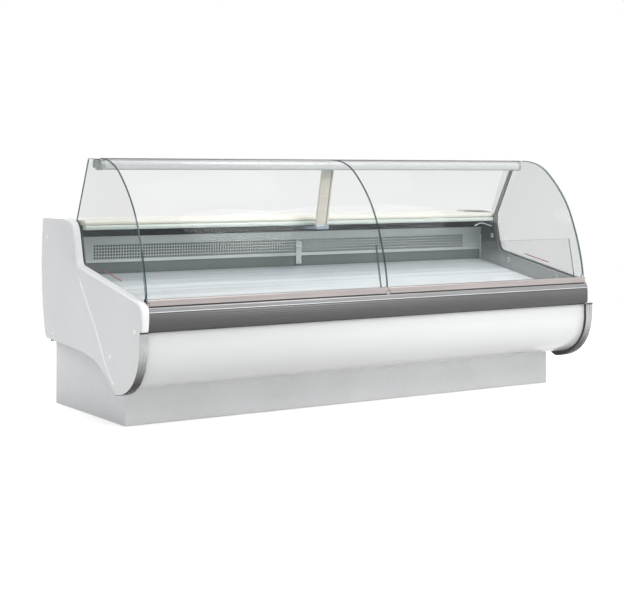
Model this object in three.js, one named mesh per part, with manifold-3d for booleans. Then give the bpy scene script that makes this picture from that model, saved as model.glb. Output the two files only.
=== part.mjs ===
// Refrigerated deli case with tilting curved front glass, built in millimetres, +Z up.
// Inner frame of this file: X along the length with 0 at mid-length, Y from the customer's side
// (low) to the server's side (high) with 0 at the plinth's front face, Z = 0 on the floor.
// The exported group shifts Y so that the origin is the centre of the case's footprint.
import * as THREE from 'three'
import { mergeVertices } from 'three/addons/utils/BufferGeometryUtils.js'
import Module from 'manifold-3d'

const wasm = await Module()
wasm.setup()

// ---------------------------------------------------------------- driving dimensions
const GAP = 0.3                  // clearance kept between touching pieces
const HALF_INNER = 1250          // mid-length to the inner face of a side panel
const PANEL_THICK = 40           // side panel
const PANEL_EDGE_R = 14          // rounding of a side panel's outer edge
const BODY_HALF = HALF_INNER - 0.5     // half length of pieces fitted between the side panels
const LINER_THICK = 8.4
const END_GLASS_THICK = 8
const FRONT_GLASS_THICK = 6
const TUB_HALF = 1232            // half length of tub, worktop and deck, between the liners
const CASE_FRONT_Y = -290
const CASE_REAR_Y = 810
const PLINTH_HALF = 1225
const PLINTH_DEPTH = 777
const PLINTH_FRONT_TOP = 172
const SHEET = 2
const WORKTOP_TOP = 892
const WORKTOP_FRONT = 412
const WORKTOP_REAR = 800
const CANOPY = { front: 215, rear: 315, bottom: 1126, top: 1173 }
const DECK = { frontY: -125, rearY: 556, rearZ: 631, slope: 0.1886, thick: 14, trays: 4 }
const HINGE = { y: -266, z: 553, pinR: 3, boreR: 3.4 }
const BACK_WALL_Y = 562          // face of the perforated back panels
const PERFORATED_JOINT_X = 24    // where the two perforated panels meet
const CONTROL = { x: -900, z: 780, face: 799 }

// ---------------------------------------------------------------- colours
const PAINT = {
  whiteMoulded: [0xeeeeee, 0.35, 0], whiteGloss: [0xf4f4f4, 0.15, 0], bumperGrey: [0x6c6c6c, 0.4, 0.1],
  aluminium: [0xb9bcc0, 0.35, 0.9], roseMetal: [0xb8a6a0, 0.35, 0.9], steel: [0xc3c7c8, 0.3, 1],
  glass: [0xdfeeea, 0.05, 0], liner: [0x77787a, 0.5, 0], deck: [0xd5e6ee, 0.3, 0.8],
  backWall: [0x9fb0ac, 0.4, 0.6], cream: [0xece8da, 0.3, 0], nosing: [0xbfd0c8, 0.3, 0.2],
  plinth: [0xb8b8ba, 0.6, 0], frame: [0x3c3f42, 0.6, 0.5], black: [0x1c1d1e, 0.5, 0],
  copper: [0xb87348, 0.35, 1], foam: [0xdcdcd8, 0.7, 0], lamp: [0xf6fbff, 0.3, 0], rubber: [0x2a2a2a, 0.9, 0],
}

const caseGroup = new THREE.Group()
caseGroup.position.y = -(CASE_FRONT_Y + CASE_REAR_Y) / 2

function addPiece(name, geometry, paint) {
  const [color, roughness, metalness] = PAINT[paint]
  const piece = new THREE.Mesh(geometry, new THREE.MeshStandardMaterial({ color, roughness, metalness }))
  piece.name = name
  caseGroup.add(piece)
  return piece
}

// ---------------------------------------------------------------- geometry helpers
function bare(geometry) {
  const copy = geometry.clone()
  copy.deleteAttribute('normal')
  copy.deleteAttribute('uv')
  return mergeVertices(copy, 1e-4)
}

function toSolid(geometry) {
  const g = bare(geometry)
  return new wasm.Manifold(new wasm.Mesh({
    numProp: 3,
    vertProperties: new Float32Array(g.attributes.position.array),
    triVerts: new Uint32Array(g.index.array),
  }))
}

function fromSolid(solid) {
  const mesh = solid.getMesh()
  const g = new THREE.BufferGeometry()
  g.setAttribute('position', new THREE.BufferAttribute(new Float32Array(mesh.vertProperties), 3))
  g.setIndex(new THREE.BufferAttribute(new Uint32Array(mesh.triVerts), 1))
  return g
}

function join(...geometries) {
  return fromSolid(geometries.map(toSolid).reduce((a, b) => a.add(b)))
}

function cut(geometry, ...tools) {
  return fromSolid(tools.map(toSolid).reduce((a, b) => a.subtract(b), toSolid(geometry)))
}

function block(x0, x1, y0, y1, z0, z1) {
  const g = new THREE.BoxGeometry(x1 - x0, y1 - y0, z1 - z0)
  return g.translate((x0 + x1) / 2, (y0 + y1) / 2, (z0 + z1) / 2)
}

// A Y-Z outline, as a THREE.Shape whose x is Y and whose y is Z, swept from X = x0 to x1.
function alongX(shape, x0, x1, curveSegments = 8) {
  const g = new THREE.ExtrudeGeometry(shape, { depth: x1 - x0, bevelEnabled: false, curveSegments })
  const axes = new THREE.Matrix4().makeBasis(
    new THREE.Vector3(0, 1, 0), new THREE.Vector3(0, 0, 1), new THREE.Vector3(1, 0, 0))
  return g.applyMatrix4(axes).translate(x0, 0, 0)
}

function outline(points) {
  return new THREE.Shape(points.map(([y, z]) => new THREE.Vector2(y, z)))
}

// An open Y-Z curve through a few points, and its copy moved sideways by a distance.
function curvePoints(points, count) {
  return new THREE.SplineCurve(points.map(([y, z]) => new THREE.Vector2(y, z))).getSpacedPoints(count)
}

function shifted(points, distance) {
  return points.map((p, i) => {
    const before = points[Math.max(i - 1, 0)]
    const after = points[Math.min(i + 1, points.length - 1)]
    const along = after.clone().sub(before).normalize()
    return new THREE.Vector2(p.x + along.y * distance, p.y - along.x * distance)
  })
}

// A bent sheet: the strip between two offsets of one open curve.
function sheetStrip(points, offsetA, offsetB) {
  return new THREE.Shape([...shifted(points, offsetA), ...shifted(points, offsetB).reverse()])
}

function rodAlong(axis, radius, from, to, u, v, sides = 16) {
  const g = new THREE.CylinderGeometry(radius, radius, to - from, sides)
  const mid = (from + to) / 2
  if (axis === 'x') return g.rotateZ(Math.PI / 2).translate(mid, u, v)
  if (axis === 'y') return g.translate(u, mid, v)
  return g.rotateX(Math.PI / 2).translate(u, v, mid)
}

function pipe(points, radius, sides = 8) {
  const path = new THREE.CatmullRomCurve3(points.map((p) => new THREE.Vector3(...p)), false, 'catmullrom', 0.3)
  const ring = new THREE.Shape()
  ring.absarc(0, 0, radius, 0, Math.PI * 2)
  return new THREE.ExtrudeGeometry(ring, {
    extrudePath: path, steps: points.length * 5, curveSegments: sides / 2, bevelEnabled: false })
}

// ---------------------------------------------------------------- side panels
function sidePanelShape() {
  const s = new THREE.Shape()
  s.moveTo(746, 318)
  s.quadraticCurveTo(772, 322, 782, 380)
  s.bezierCurveTo(800, 480, 821, 640, 806, 780)
  s.quadraticCurveTo(800, 880, 792, 893)
  s.quadraticCurveTo(786, 903, 766, 904)
  s.lineTo(560, 905)
  s.bezierCurveTo(450, 904, 434, 868, 420, 812)
  s.lineTo(395, 716)
  s.quadraticCurveTo(389, 693, 366, 686)
  s.lineTo(-196, 577)
  s.bezierCurveTo(-262, 566, -284, 552, -288, 520)
  s.bezierCurveTo(-293, 490, -284, 460, -278, 438)
  s.lineTo(-277, 372)
  s.bezierCurveTo(-272, 270, -205, 158, -40, 148)
  s.bezierCurveTo(8, 158, 60, 222, 170, 262)
  s.bezierCurveTo(270, 298, 420, 300, 746, 318)
  return s
}

// Slab between two X positions whose outer edge is rounded by rings that shrink inwards.
function roundedSlab(shape, innerX, outerX, radius) {
  const base = shape.getPoints(7)
  if (base[0].distanceTo(base[base.length - 1]) < 1e-6) base.pop()
  if (THREE.ShapeUtils.area(base) < 0) base.reverse()
  const count = base.length
  const inset = (d) => base.map((p, i) => {
    const a = base[(i + count - 1) % count]
    const b = base[(i + 1) % count]
    const along = b.clone().sub(a).normalize()
    return new THREE.Vector2(p.x - along.y * d, p.y + along.x * d)
  })
  const side = Math.sign(outerX - innerX)
  const rings = [{ x: innerX, pts: base }]
  const STEPS = 3
  for (let k = 0; k <= STEPS; k++) {
    const turn = (k / STEPS) * Math.PI / 2
    rings.push({ x: outerX - side * radius * (1 - Math.sin(turn)), pts: inset(radius * (1 - Math.cos(turn))) })
  }
  const vertices = rings.flatMap((ring) => ring.pts.flatMap((p) => [ring.x, p.x, p.y]))
  const faces = []
  for (let r = 0; r + 1 < rings.length; r++) {
    for (let i = 0; i < count; i++) {
      const j = (i + 1) % count
      const [a, b, c, d] = [r * count + i, r * count + j, (r + 1) * count + j, (r + 1) * count + i]
      faces.push(a, b, c, a, c, d)
    }
  }
  const last = (rings.length - 1) * count
  THREE.ShapeUtils.triangulateShape(base, []).forEach(([a, b, c]) => faces.push(a, c, b))
  THREE.ShapeUtils.triangulateShape(rings[rings.length - 1].pts, [])
    .forEach(([a, b, c]) => faces.push(last + a, last + b, last + c))
  if (side < 0) {
    for (let f = 0; f < faces.length; f += 3) [faces[f + 1], faces[f + 2]] = [faces[f + 2], faces[f + 1]]
  }
  const g = new THREE.BufferGeometry()
  g.setAttribute('position', new THREE.Float32BufferAttribute(vertices, 3))
  g.setIndex(faces)
  return g
}

const SIDES = [{ name: 'left', dir: -1 }, { name: 'right', dir: 1 }]

function span(dir, a, b) {
  return dir > 0 ? [a, b] : [-b, -a]
}

for (const { name, dir } of SIDES) {
  const panel = roundedSlab(sidePanelShape(), dir * HALF_INNER, dir * (HALF_INNER + PANEL_THICK), PANEL_EDGE_R)
  addPiece(`side_panel_${name}`, panel, 'whiteMoulded')
}

// ---------------------------------------------------------------- inner side liners and end glasses
const LINER_OUTER = HALF_INNER - END_GLASS_THICK - 2 * GAP
function linerShape() {
  const s = new THREE.Shape()
  s.moveTo(-192, 300)
  s.lineTo(-100, 260)
  s.lineTo(90, 260)
  s.lineTo(250, 304)
  s.lineTo(700, 304)
  s.lineTo(700, 896)
  s.lineTo(560, 896)
  s.bezierCurveTo(462, 896, 444, 862, 431, 808)
  s.lineTo(404, 710)
  s.quadraticCurveTo(396, 684, 368, 678)
  s.lineTo(-192, 569)
  return s
}

// Front glass: outer face from the hinge up over the crown to the canopy.
const GLASS_OUTER = [
  [-262, 556], [-259, 610], [-243, 690], [-213, 790], [-168, 900], [-128, 970], [-77, 1034], [-21, 1090],
  [30, 1131], [82, 1157], [142, 1173], [215, 1179.5],
]
const glassCurve = curvePoints(GLASS_OUTER, 22)

function endGlassShape() {
  const clearance = FRONT_GLASS_THICK + 2.5
  const front = shifted(glassCurve, clearance).filter((p) => p.y > 584)
  const points = [...front.map((p) => [p.x, p.y]), [346, 1176], [484, 880], [452, 815], [416, 676],
    [370, 650], [-186, 542], [-232, 560]]
  return outline(points)
}

for (const { name, dir } of SIDES) {
  const [l0, l1] = span(dir, LINER_OUTER - LINER_THICK, LINER_OUTER)
  addPiece(`side_liner_${name}`, alongX(linerShape(), l0, l1), 'liner')
  const [g0, g1] = span(dir, LINER_OUTER + GAP, LINER_OUTER + GAP + END_GLASS_THICK)
  addPiece(`end_glass_${name}`, alongX(endGlassShape(), g0, g1), 'glass')
}

// ---------------------------------------------------------------- insulated tub and front skin
addPiece('insulated_tub', alongX(outline([
  [-246, 515], [-246, 330], [-190, 245], [-100, 215], [60, 215], [250, 296], [700, 296], [700, 866],
  [650, 866], [650, 346], [262, 346], [72, 265], [-95, 265], [-160, 285], [-196, 345], [-196, 515],
]), -TUB_HALF, TUB_HALF), 'foam')

function frontPanelShape() {
  const face = new THREE.Path()
  face.moveTo(-262, 438)
  face.lineTo(-262, 372)
  face.bezierCurveTo(-258, 268, -196, 184, -60, 174)
  face.lineTo(-2, 174)
  const skin = face.getPoints(10)
  return sheetStrip(skin, 0, -3)
}
addPiece('front_panel', alongX(frontPanelShape(), -BODY_HALF, BODY_HALF), 'whiteGloss')

function bumperShape() {
  const s = new THREE.Shape()
  s.moveTo(-250, 440.4)
  s.lineTo(-250, 519.6)
  s.lineTo(-274, 519.6)
  s.quadraticCurveTo(-281, 519, -283, 509)
  s.quadraticCurveTo(-289, 480, -283, 451)
  s.quadraticCurveTo(-281, 441, -274, 440.4)
  return s
}
addPiece('bumper_rail', alongX(bumperShape(), -BODY_HALF, BODY_HALF, 4), 'bumperGrey')

// ---------------------------------------------------------------- front glass, hinge profile, hinge blocks
const PANE = { inner: 2, outer: BODY_HALF - 2.5, profileInner: 11, profileOuter: BODY_HALF - 10 }
const CHANNEL = [
  [-272, 548], [-246, 548], [-246, 571], [-252, 573], [-253.5, 573], [-255.2, 553.4], [-262.6, 553.4],
  [-262.6, 576], [-267, 576], [-272, 572],
]
function glassPaneShape() {
  const foot = new THREE.Vector2(-261.8, GLASS_FOOT_Z)
  return sheetStrip([foot, ...glassCurve.filter((p) => p.y > GLASS_FOOT_Z + 10)], 0, FRONT_GLASS_THICK)
}
const PIN_LENGTH = 5
const GLASS_FOOT_Z = 562          // the glass stands in the channel, clear above the hinge ears
for (const { name, dir } of SIDES) {
  const [p0, p1] = span(dir, PANE.inner, PANE.outer)
  addPiece(`front_glass_${name}`, alongX(glassPaneShape(), p0, p1), 'glass')
  const [c0, c1] = span(dir, PANE.profileInner, PANE.profileOuter)
  // the pivot pins stand out of both ends of the channel's solid front foot
  const channel = join(
    alongX(outline(CHANNEL), c0, c1),
    rodAlong('x', HINGE.pinR, c0 - PIN_LENGTH, c0 + 1, HINGE.y, HINGE.z, 12),
    rodAlong('x', HINGE.pinR, c1 - 1, c1 + PIN_LENGTH, HINGE.y, HINGE.z, 12))
  addPiece(`glass_hinge_profile_${name}`, channel, 'roseMetal')
}
// the fixed profile under the glass carries three hinge ears whose bores take the pivot pins
const EARS = [
  [-BODY_HALF, -(PANE.profileOuter + 1.5)],
  [-(PANE.profileInner - 1.5), PANE.profileInner - 1.5],
  [PANE.profileOuter + 1.5, BODY_HALF],
]
const topProfile = alongX(outline([
  [-279, 520.3], [-197, 520.3], [-197, 542.6], [-274, 542.6], [-279, 538],
]), -BODY_HALF, BODY_HALF)
const ears = EARS.map(([x0, x1]) => alongX(outline([
  [-271, 540], [-250, 540], [-250, 547], [-259, 560], [-271, 560]]), x0, x1))
const earBore = rodAlong('x', HINGE.boreR, -BODY_HALF - 5, BODY_HALF + 5, HINGE.y, HINGE.z, 12)
addPiece('front_top_profile', cut(join(topProfile, ...ears), earBore), 'aluminium')

// ---------------------------------------------------------------- inner deflector glass and its profile
const DEFLECTOR = { bottomY: -217, bottomZ: 550, lean: 0.205, topZ: 770, thick: 6.1 }
function deflectorFrontY(z) {
  return DEFLECTOR.bottomY + DEFLECTOR.lean * (z - DEFLECTOR.bottomZ)
}
const LIP_Z = 572
addPiece('deflector_profile', alongX(outline([
  [-236, 543], [-199, 543], [-199, LIP_Z], [deflectorFrontY(LIP_Z) + DEFLECTOR.thick + 0.4, LIP_Z],
  [deflectorFrontY(549.6) + DEFLECTOR.thick + 0.4, 549.6], [deflectorFrontY(549.6) - 0.4, 549.6],
  [deflectorFrontY(LIP_Z) - 0.4, LIP_Z], [-224, LIP_Z], [-236, 560],
]), -TUB_HALF, TUB_HALF), 'aluminium')
for (const { name, dir } of SIDES) {
  const { bottomZ, topZ, thick } = DEFLECTOR
  const [x0, x1] = span(dir, 2, TUB_HALF - 2)
  addPiece(`deflector_glass_${name}`, alongX(outline([
    [deflectorFrontY(bottomZ), bottomZ], [deflectorFrontY(bottomZ) + thick, bottomZ],
    [deflectorFrontY(topZ) + thick, topZ], [deflectorFrontY(topZ), topZ],
  ]), x0, x1), 'glass')
}

// ---------------------------------------------------------------- canopy, lamp and posts
const CANOPY_HALF = 1222
function canopyShape() {
  const { front, rear, bottom, top } = CANOPY
  const s = new THREE.Shape()
  s.moveTo(front + 10, bottom)
  s.lineTo(rear - 30, bottom)
  s.lineTo(rear - 30, bottom + 8)
  s.lineTo(rear - 8, bottom + 8)
  s.quadraticCurveTo(rear, bottom + 12, rear, bottom + 24)
  s.quadraticCurveTo(rear, top, rear - 20, top)
  s.lineTo(front + 26, top)
  s.quadraticCurveTo(front + 4, top, front, bottom + 24)
  s.quadraticCurveTo(front - 1, bottom + 2, front + 10, bottom)
  return s
}
addPiece('canopy_profile', alongX(canopyShape(), -CANOPY_HALF, CANOPY_HALF, 5), 'whiteGloss')
for (const { name, dir } of SIDES) {
  const [x0, x1] = span(dir, CANOPY_HALF + GAP, CANOPY_HALF + 18)
  addPiece(`canopy_end_cap_${name}`, alongX(canopyShape(), x0, x1, 5), 'nosing')
}
addPiece('lamp_tube', rodAlong('x', 3.6, -CANOPY_HALF + 60, CANOPY_HALF - 60,
  CANOPY.rear - 18, CANOPY.bottom + 4, 12), 'lamp')

// Each post leans back from the canopy's underside to its foot, and a welded clip holds it under the nosing.
const POST_TOP_Y = 268
const POSTS = [
  { name: 'middle', x0: -18, x1: 50, footY: 327, footZ: 840, thick: 14, paint: 'cream',
    clip: [[318, 828], [546, 828], [546, 842], [342, 842], [340, 850], [322, 850]] },
  { name: 'right', x0: 1204, x1: 1226, footY: 398.6, footZ: 880, thick: 10, paint: 'aluminium',
    clip: [[398, 840], [440, 832], [440, 844], [402.5, 846], [402.5, 884], [398, 884]] },
]
for (const { name, x0, x1, footY, footZ, thick, paint, clip } of POSTS) {
  const topZ = CANOPY.bottom - GAP
  const bar = outline([[footY, footZ], [footY + thick, footZ], [POST_TOP_Y + thick, topZ], [POST_TOP_Y, topZ]])
  const foot = alongX(outline(clip), x0 - 4, Math.min(x1 + 4, TUB_HALF - 1))
  addPiece(`post_${name}`, join(alongX(bar, x0, x1), foot), paint)
}

// ---------------------------------------------------------------- worktop, nosing and rear shell
function worktopShape() {
  const s = new THREE.Shape()
  s.moveTo(WORKTOP_FRONT + 10, 868.3)
  s.lineTo(WORKTOP_REAR, 868.3)
  s.lineTo(WORKTOP_REAR, WORKTOP_TOP - 4)
  s.lineTo(WORKTOP_REAR - 4, WORKTOP_TOP)
  s.lineTo(WORKTOP_FRONT + 14, WORKTOP_TOP)
  s.quadraticCurveTo(WORKTOP_FRONT, WORKTOP_TOP - 3, WORKTOP_FRONT, WORKTOP_TOP - 16)
  s.quadraticCurveTo(WORKTOP_FRONT + 2, 869, WORKTOP_FRONT + 10, 868.3)
  return s
}
addPiece('worktop', alongX(worktopShape(), -TUB_HALF, TUB_HALF, 4), 'cream')
const nosingShape = new THREE.Shape()
nosingShape.moveTo(446, 846.5)
nosingShape.lineTo(446, 868)
nosingShape.lineTo(414, 868)
nosingShape.quadraticCurveTo(403, 866, 403, 857)
nosingShape.quadraticCurveTo(403, 847, 414, 846.5)
addPiece('worktop_nosing', alongX(nosingShape, -TUB_HALF, TUB_HALF, 5), 'nosing')

addPiece('back_upper_panel', alongX(outline([
  [549, 780], [556, 772], [563, 772], [563, 776], [553, 784], [553, 816], [600, 840], [600, 842.5], [549, 818],
]), -TUB_HALF, TUB_HALF), 'backWall')
addPiece('perforated_panel_left', block(-TUB_HALF, PERFORATED_JOINT_X - GAP,
  BACK_WALL_Y, BACK_WALL_Y + SHEET, 697.6, 771.6), 'backWall')
addPiece('perforated_panel_right', block(PERFORATED_JOINT_X + GAP, TUB_HALF,
  BACK_WALL_Y, BACK_WALL_Y + SHEET, 697.6, 771.6), 'backWall')
addPiece('back_lower_panel', alongX(outline([
  [556, 684], [566, 684], [566, 600], [568, 600], [568, 697.3], [556, 697.3],
]), -TUB_HALF, TUB_HALF), 'backWall')

// ---------------------------------------------------------------- deck trays and return-air grille
function deckTopZ(y) {
  return DECK.rearZ - DECK.slope * (DECK.rearY - y)
}
const trayWidth = (2 * TUB_HALF) / DECK.trays
for (let i = 0; i < DECK.trays; i++) {
  const x0 = -TUB_HALF + i * trayWidth + 0.6
  const { frontY, rearY, thick } = DECK
  const wall = 1.6
  // a shallow pan turned over: flat top with edges folded down
  const pan = alongX(outline([[frontY, deckTopZ(frontY)], [frontY, deckTopZ(frontY) - thick],
    [rearY, deckTopZ(rearY) - thick], [rearY, deckTopZ(rearY)]]), x0, x0 + trayWidth - 1.2)
  const [hy0, hy1] = [frontY + wall, rearY - wall]
  const hollow = alongX(outline([[hy0, deckTopZ(hy0) - wall], [hy0, deckTopZ(hy0) - 3 * thick],
    [hy1, deckTopZ(hy1) - 3 * thick], [hy1, deckTopZ(hy1) - wall]]), x0 + wall, x0 + trayWidth - 1.2 - wall)
  addPiece(`deck_tray_${i + 1}`, cut(pan, hollow), 'deck')
}
addPiece('return_air_grille', block(-TUB_HALF, TUB_HALF, -195.6, -126, 492, 497), 'steel')

// ---------------------------------------------------------------- cooling in the tub
const EVAPORATOR = { x0: -1050, x1: 1050, y0: 300, y1: 520, z0: 380, z1: 500 }
addPiece('evaporator_coil', block(EVAPORATOR.x0, EVAPORATOR.x1, EVAPORATOR.y0, EVAPORATOR.y1,
  EVAPORATOR.z0, EVAPORATOR.z1), 'aluminium')

const FAN_XS = [-560, 560]
const EVAP_FAN = { y: 200, z: 420, holeR: 84, hubR: 24, tipR: 76 }
const fanPlate = alongX(outline([[196, 336], [204, 336], [204, 546], [196, 546]]), -TUB_HALF + 1, TUB_HALF - 1)
const openPlate = cut(fanPlate, ...FAN_XS.map((x) => rodAlong('y', EVAP_FAN.holeR, 180, 220, x, EVAP_FAN.z, 24)))

function fanGeometry(hubR, tipR, hubLength, bladeCount, bladeThick) {
  const hub = new THREE.CylinderGeometry(hubR, hubR, hubLength, 16)
  const pieces = [hub]
  for (let i = 0; i < bladeCount; i++) {
    const blade = new THREE.BoxGeometry(tipR - hubR + 6, bladeThick, (hubR + tipR) * 0.42)
    blade.rotateX(0.5)
    blade.translate((hubR + tipR) / 2 - 3, 0, 0)
    blade.rotateY((i / bladeCount) * Math.PI * 2)
    pieces.push(blade)
  }
  return join(...pieces)
}
FAN_XS.forEach((x, i) => {
  const wheel = fanGeometry(EVAP_FAN.hubR, EVAP_FAN.tipR, 26, 5, 2)
  addPiece(`evaporator_fan_${i + 1}`, wheel.translate(x, 200, EVAP_FAN.z), 'black')
})
// each motor hangs behind its wheel on three arms that are riveted to the plate
const motors = FAN_XS.flatMap((x) => {
  const arms = [0, 1, 2].flatMap((k) => {
    const turn = (k * 2 * Math.PI) / 3
    const arm = new THREE.BoxGeometry(10, 5, 94).translate(0, 0, 47).rotateY(turn).translate(x, 226, EVAP_FAN.z)
    const peg = new THREE.BoxGeometry(10, 26, 8).translate(0, 0, 90).rotateY(turn).translate(x, 215, EVAP_FAN.z)
    return [arm, peg]
  })
  return [rodAlong('y', 27, 216, 268, x, EVAP_FAN.z, 20), ...arms]
})
addPiece('evaporator_fan_plate', join(openPlate, ...motors), 'steel')

// ---------------------------------------------------------------- base frame, feet and plinth
const FRAME = { x: 1212, y0: 40, y1: 700, z0: 40, z1: 80, tube: 40 }
function frameGeometry() {
  const { x, y0, y1, z0, z1, tube } = FRAME
  const bars = [block(-x, x, y0, y0 + tube, z0, z1), block(-x, x, y1 - tube, y1, z0, z1)]
  for (const cx of [-x + tube / 2, -400, 400, x - tube / 2]) {
    bars.push(block(cx - tube / 2, cx + tube / 2, y0 + 1, y1 - 1, z0, z1))
    bars.push(block(cx - tube / 2, cx + tube / 2, y0, y0 + tube - 20, z1 - 1, 214.6))
    bars.push(block(cx - tube / 2, cx + tube / 2, y1 - tube, y1, z1 - 1, 295.6))
  }
  return join(...bars)
}
addPiece('base_frame', frameGeometry(), 'frame')
const FOOT_XS = [-1150, 1150]
const FOOT_YS = [60, 680]
let footNumber = 1
for (const x of FOOT_XS) {
  for (const y of FOOT_YS) {
    const profile = [[0, 0], [26, 0], [28, 3], [28, 8], [14, 14], [8, 14], [8, FRAME.z0 - GAP], [0, FRAME.z0 - GAP]]
    const foot = new THREE.LatheGeometry(profile.map(([r, z]) => new THREE.Vector2(r, z)), 20)
    addPiece(`levelling_foot_${footNumber}`, foot.rotateX(Math.PI / 2).translate(x, y, 0), 'rubber')
    footNumber++
  }
}
const FLANGE = 22
addPiece('plinth_front', alongX(outline([
  [0, 0.5], [FLANGE, 0.5], [FLANGE, 2.5], [SHEET, 2.5], [SHEET, PLINTH_FRONT_TOP - SHEET],
  [FLANGE, PLINTH_FRONT_TOP - SHEET], [FLANGE, PLINTH_FRONT_TOP], [0, PLINTH_FRONT_TOP],
]), -(PLINTH_HALF - SHEET - GAP), PLINTH_HALF - SHEET - GAP), 'plinth')
for (const { name, dir } of SIDES) {
  const [x0, x1] = span(dir, PLINTH_HALF - SHEET, PLINTH_HALF)
  addPiece(`plinth_${name}`, alongX(outline([
    [0, 0.5], [PLINTH_DEPTH - 2.5, 0.5], [PLINTH_DEPTH - 2.5, 295.5], [250, 295.5], [62, 214], [0, PLINTH_FRONT_TOP],
  ]), x0, x1), 'plinth')
}
const slotTools = []
const GRILLE_GROUPS = [[-1000, -420], [-300, 300], [420, 1000]]
for (const [x0, x1] of GRILLE_GROUPS) {
  for (let z = 60; z <= 240; z += 20) slotTools.push(block(x0, x1, PLINTH_DEPTH - 20, PLINTH_DEPTH + 20, z, z + 9))
}
addPiece('plinth_rear_grille', cut(block(-PLINTH_HALF, PLINTH_HALF, PLINTH_DEPTH - SHEET, PLINTH_DEPTH,
  0.5, 295.5), ...slotTools), 'plinth')

// ---------------------------------------------------------------- condensing unit in the plinth
const UNIT = { x: 560, y: 380, z: FRAME.z1 + GAP }
addPiece('unit_tray', alongX(outline([[130, UNIT.z], [640, UNIT.z], [640, UNIT.z + 14], [638, UNIT.z + 14],
  [638, UNIT.z + 2], [132, UNIT.z + 2], [132, UNIT.z + 14], [130, UNIT.z + 14]]), 380.5, 1060), 'steel')
const shell = new THREE.LatheGeometry([
  [0, 0], [62, 0], [78, 14], [82, 40], [82, 76], [80, 96], [62, 116], [30, 124], [0, 126],
].map(([r, z]) => new THREE.Vector2(r, z)), 24).rotateX(Math.PI / 2).translate(920, 400, UNIT.z + 6)
const compressorFeet = [[-70, -70], [70, -70], [70, 70], [-70, 70]].map(([dx, dy]) =>
  rodAlong('z', 12, UNIT.z + 2.3, UNIT.z + 16, 920 + dx, 400 + dy, 12))
const footPlate = block(840, 1000, 320, 480, UNIT.z + 9, UNIT.z + 13)
addPiece('compressor', join(shell, footPlate, ...compressorFeet), 'black')
addPiece('condenser_coil', block(420, 480, 170, 560, UNIT.z + 2.3, UNIT.z + 124), 'aluminium')
const COND_FAN = { x: 520, y: 365, z: UNIT.z + 64, holeR: 56, hubR: 18, tipR: 50 }
const shroudBox = cut(block(484, 528, 170, 560, UNIT.z + 2.3, UNIT.z + 124),
  block(483, 524, 174, 556, UNIT.z + 6, UNIT.z + 120),
  rodAlong('x', COND_FAN.holeR, 520, 535, COND_FAN.y, COND_FAN.z, 24))
// the motor sits behind the wheel on a wire guard's two uprights
addPiece('condenser_fan_shroud', join(shroudBox,
  rodAlong('x', 24, 540, 584, COND_FAN.y, COND_FAN.z, 20),
  block(546, 551, COND_FAN.y - 6, COND_FAN.y + 6, UNIT.z + 3, UNIT.z + 123),
  block(526, 551, COND_FAN.y - 6, COND_FAN.y + 6, UNIT.z + 3, UNIT.z + 6.5),
  block(526, 551, COND_FAN.y - 6, COND_FAN.y + 6, UNIT.z + 120, UNIT.z + 123)), 'black')
addPiece('condenser_fan', fanGeometry(COND_FAN.hubR, COND_FAN.tipR, 20, 5, 2)
  .rotateZ(Math.PI / 2).translate(COND_FAN.x, COND_FAN.y, COND_FAN.z), 'aluminium')

// ---------------------------------------------------------------- server's side: rear panel and controls
const CONTROL_BOX = { x0: CONTROL.x - 170, x1: CONTROL.x + 170, z0: CONTROL.z - 45, z1: CONTROL.z + 45 }
const REAR_PANEL_Y = 786
addPiece('rear_panel', cut(block(-BODY_HALF, BODY_HALF, REAR_PANEL_Y, REAR_PANEL_Y + SHEET, 298, 866),
  block(CONTROL_BOX.x0 - GAP, CONTROL_BOX.x1 + GAP, 780, 800, CONTROL_BOX.z0 - GAP, CONTROL_BOX.z1 + GAP)), 'steel')

const BUTTONS = [-30, 5, 40]
const BUTTON = { half: 9, zLow: -26, zHigh: -12, travel: 1.5 }
const ROCKER = { x: 115, halfX: 11, halfZ: 15, y: 797, tilt: THREE.MathUtils.degToRad(8) }
const cavities = BUTTONS.map((dx) => block(
  CONTROL.x + dx - BUTTON.half - 0.4, CONTROL.x + dx + BUTTON.half + 0.4, 790, 810,
  CONTROL.z + BUTTON.zLow - 0.4, CONTROL.z + BUTTON.zHigh + 0.4))
cavities.push(block(CONTROL.x + ROCKER.x - ROCKER.halfX - 0.5, CONTROL.x + ROCKER.x + ROCKER.halfX + 0.5,
  784, 810, CONTROL.z - ROCKER.halfZ - 1, CONTROL.z + ROCKER.halfZ + 1))
addPiece('control_housing', cut(block(CONTROL_BOX.x0, CONTROL_BOX.x1, 742, CONTROL.face,
  CONTROL_BOX.z0, CONTROL_BOX.z1), ...cavities), 'black')
BUTTONS.forEach((dx, i) => {
  addPiece(`control_button_${i + 1}`, block(CONTROL.x + dx - BUTTON.half, CONTROL.x + dx + BUTTON.half,
    792.5, CONTROL.face + 2, CONTROL.z + BUTTON.zLow, CONTROL.z + BUTTON.zHigh), 'whiteMoulded')
})
const rockerShape = outline([[ROCKER.y - 6, -11], [ROCKER.y + 3, -15], [ROCKER.y + 5.4, -13], [ROCKER.y + 3.2, 0],
  [ROCKER.y + 5.4, 13], [ROCKER.y + 3, 15], [ROCKER.y - 6, 11]])
addPiece('light_switch', alongX(rockerShape, CONTROL.x + ROCKER.x - ROCKER.halfX,
  CONTROL.x + ROCKER.x + ROCKER.halfX).translate(0, -ROCKER.y, 0).rotateX(-ROCKER.tilt)
  .translate(0, ROCKER.y, CONTROL.z), 'whiteMoulded')

addPiece('supply_gland', new THREE.LatheGeometry([
  [0, 0], [14, 0], [14, 8], [11, 10], [11, 20], [8, 24], [0, 24],
].map(([r, z]) => new THREE.Vector2(r, z)), 18).translate(1100, PLINTH_DEPTH + GAP, 40), 'black')

export default caseGroup
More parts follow.
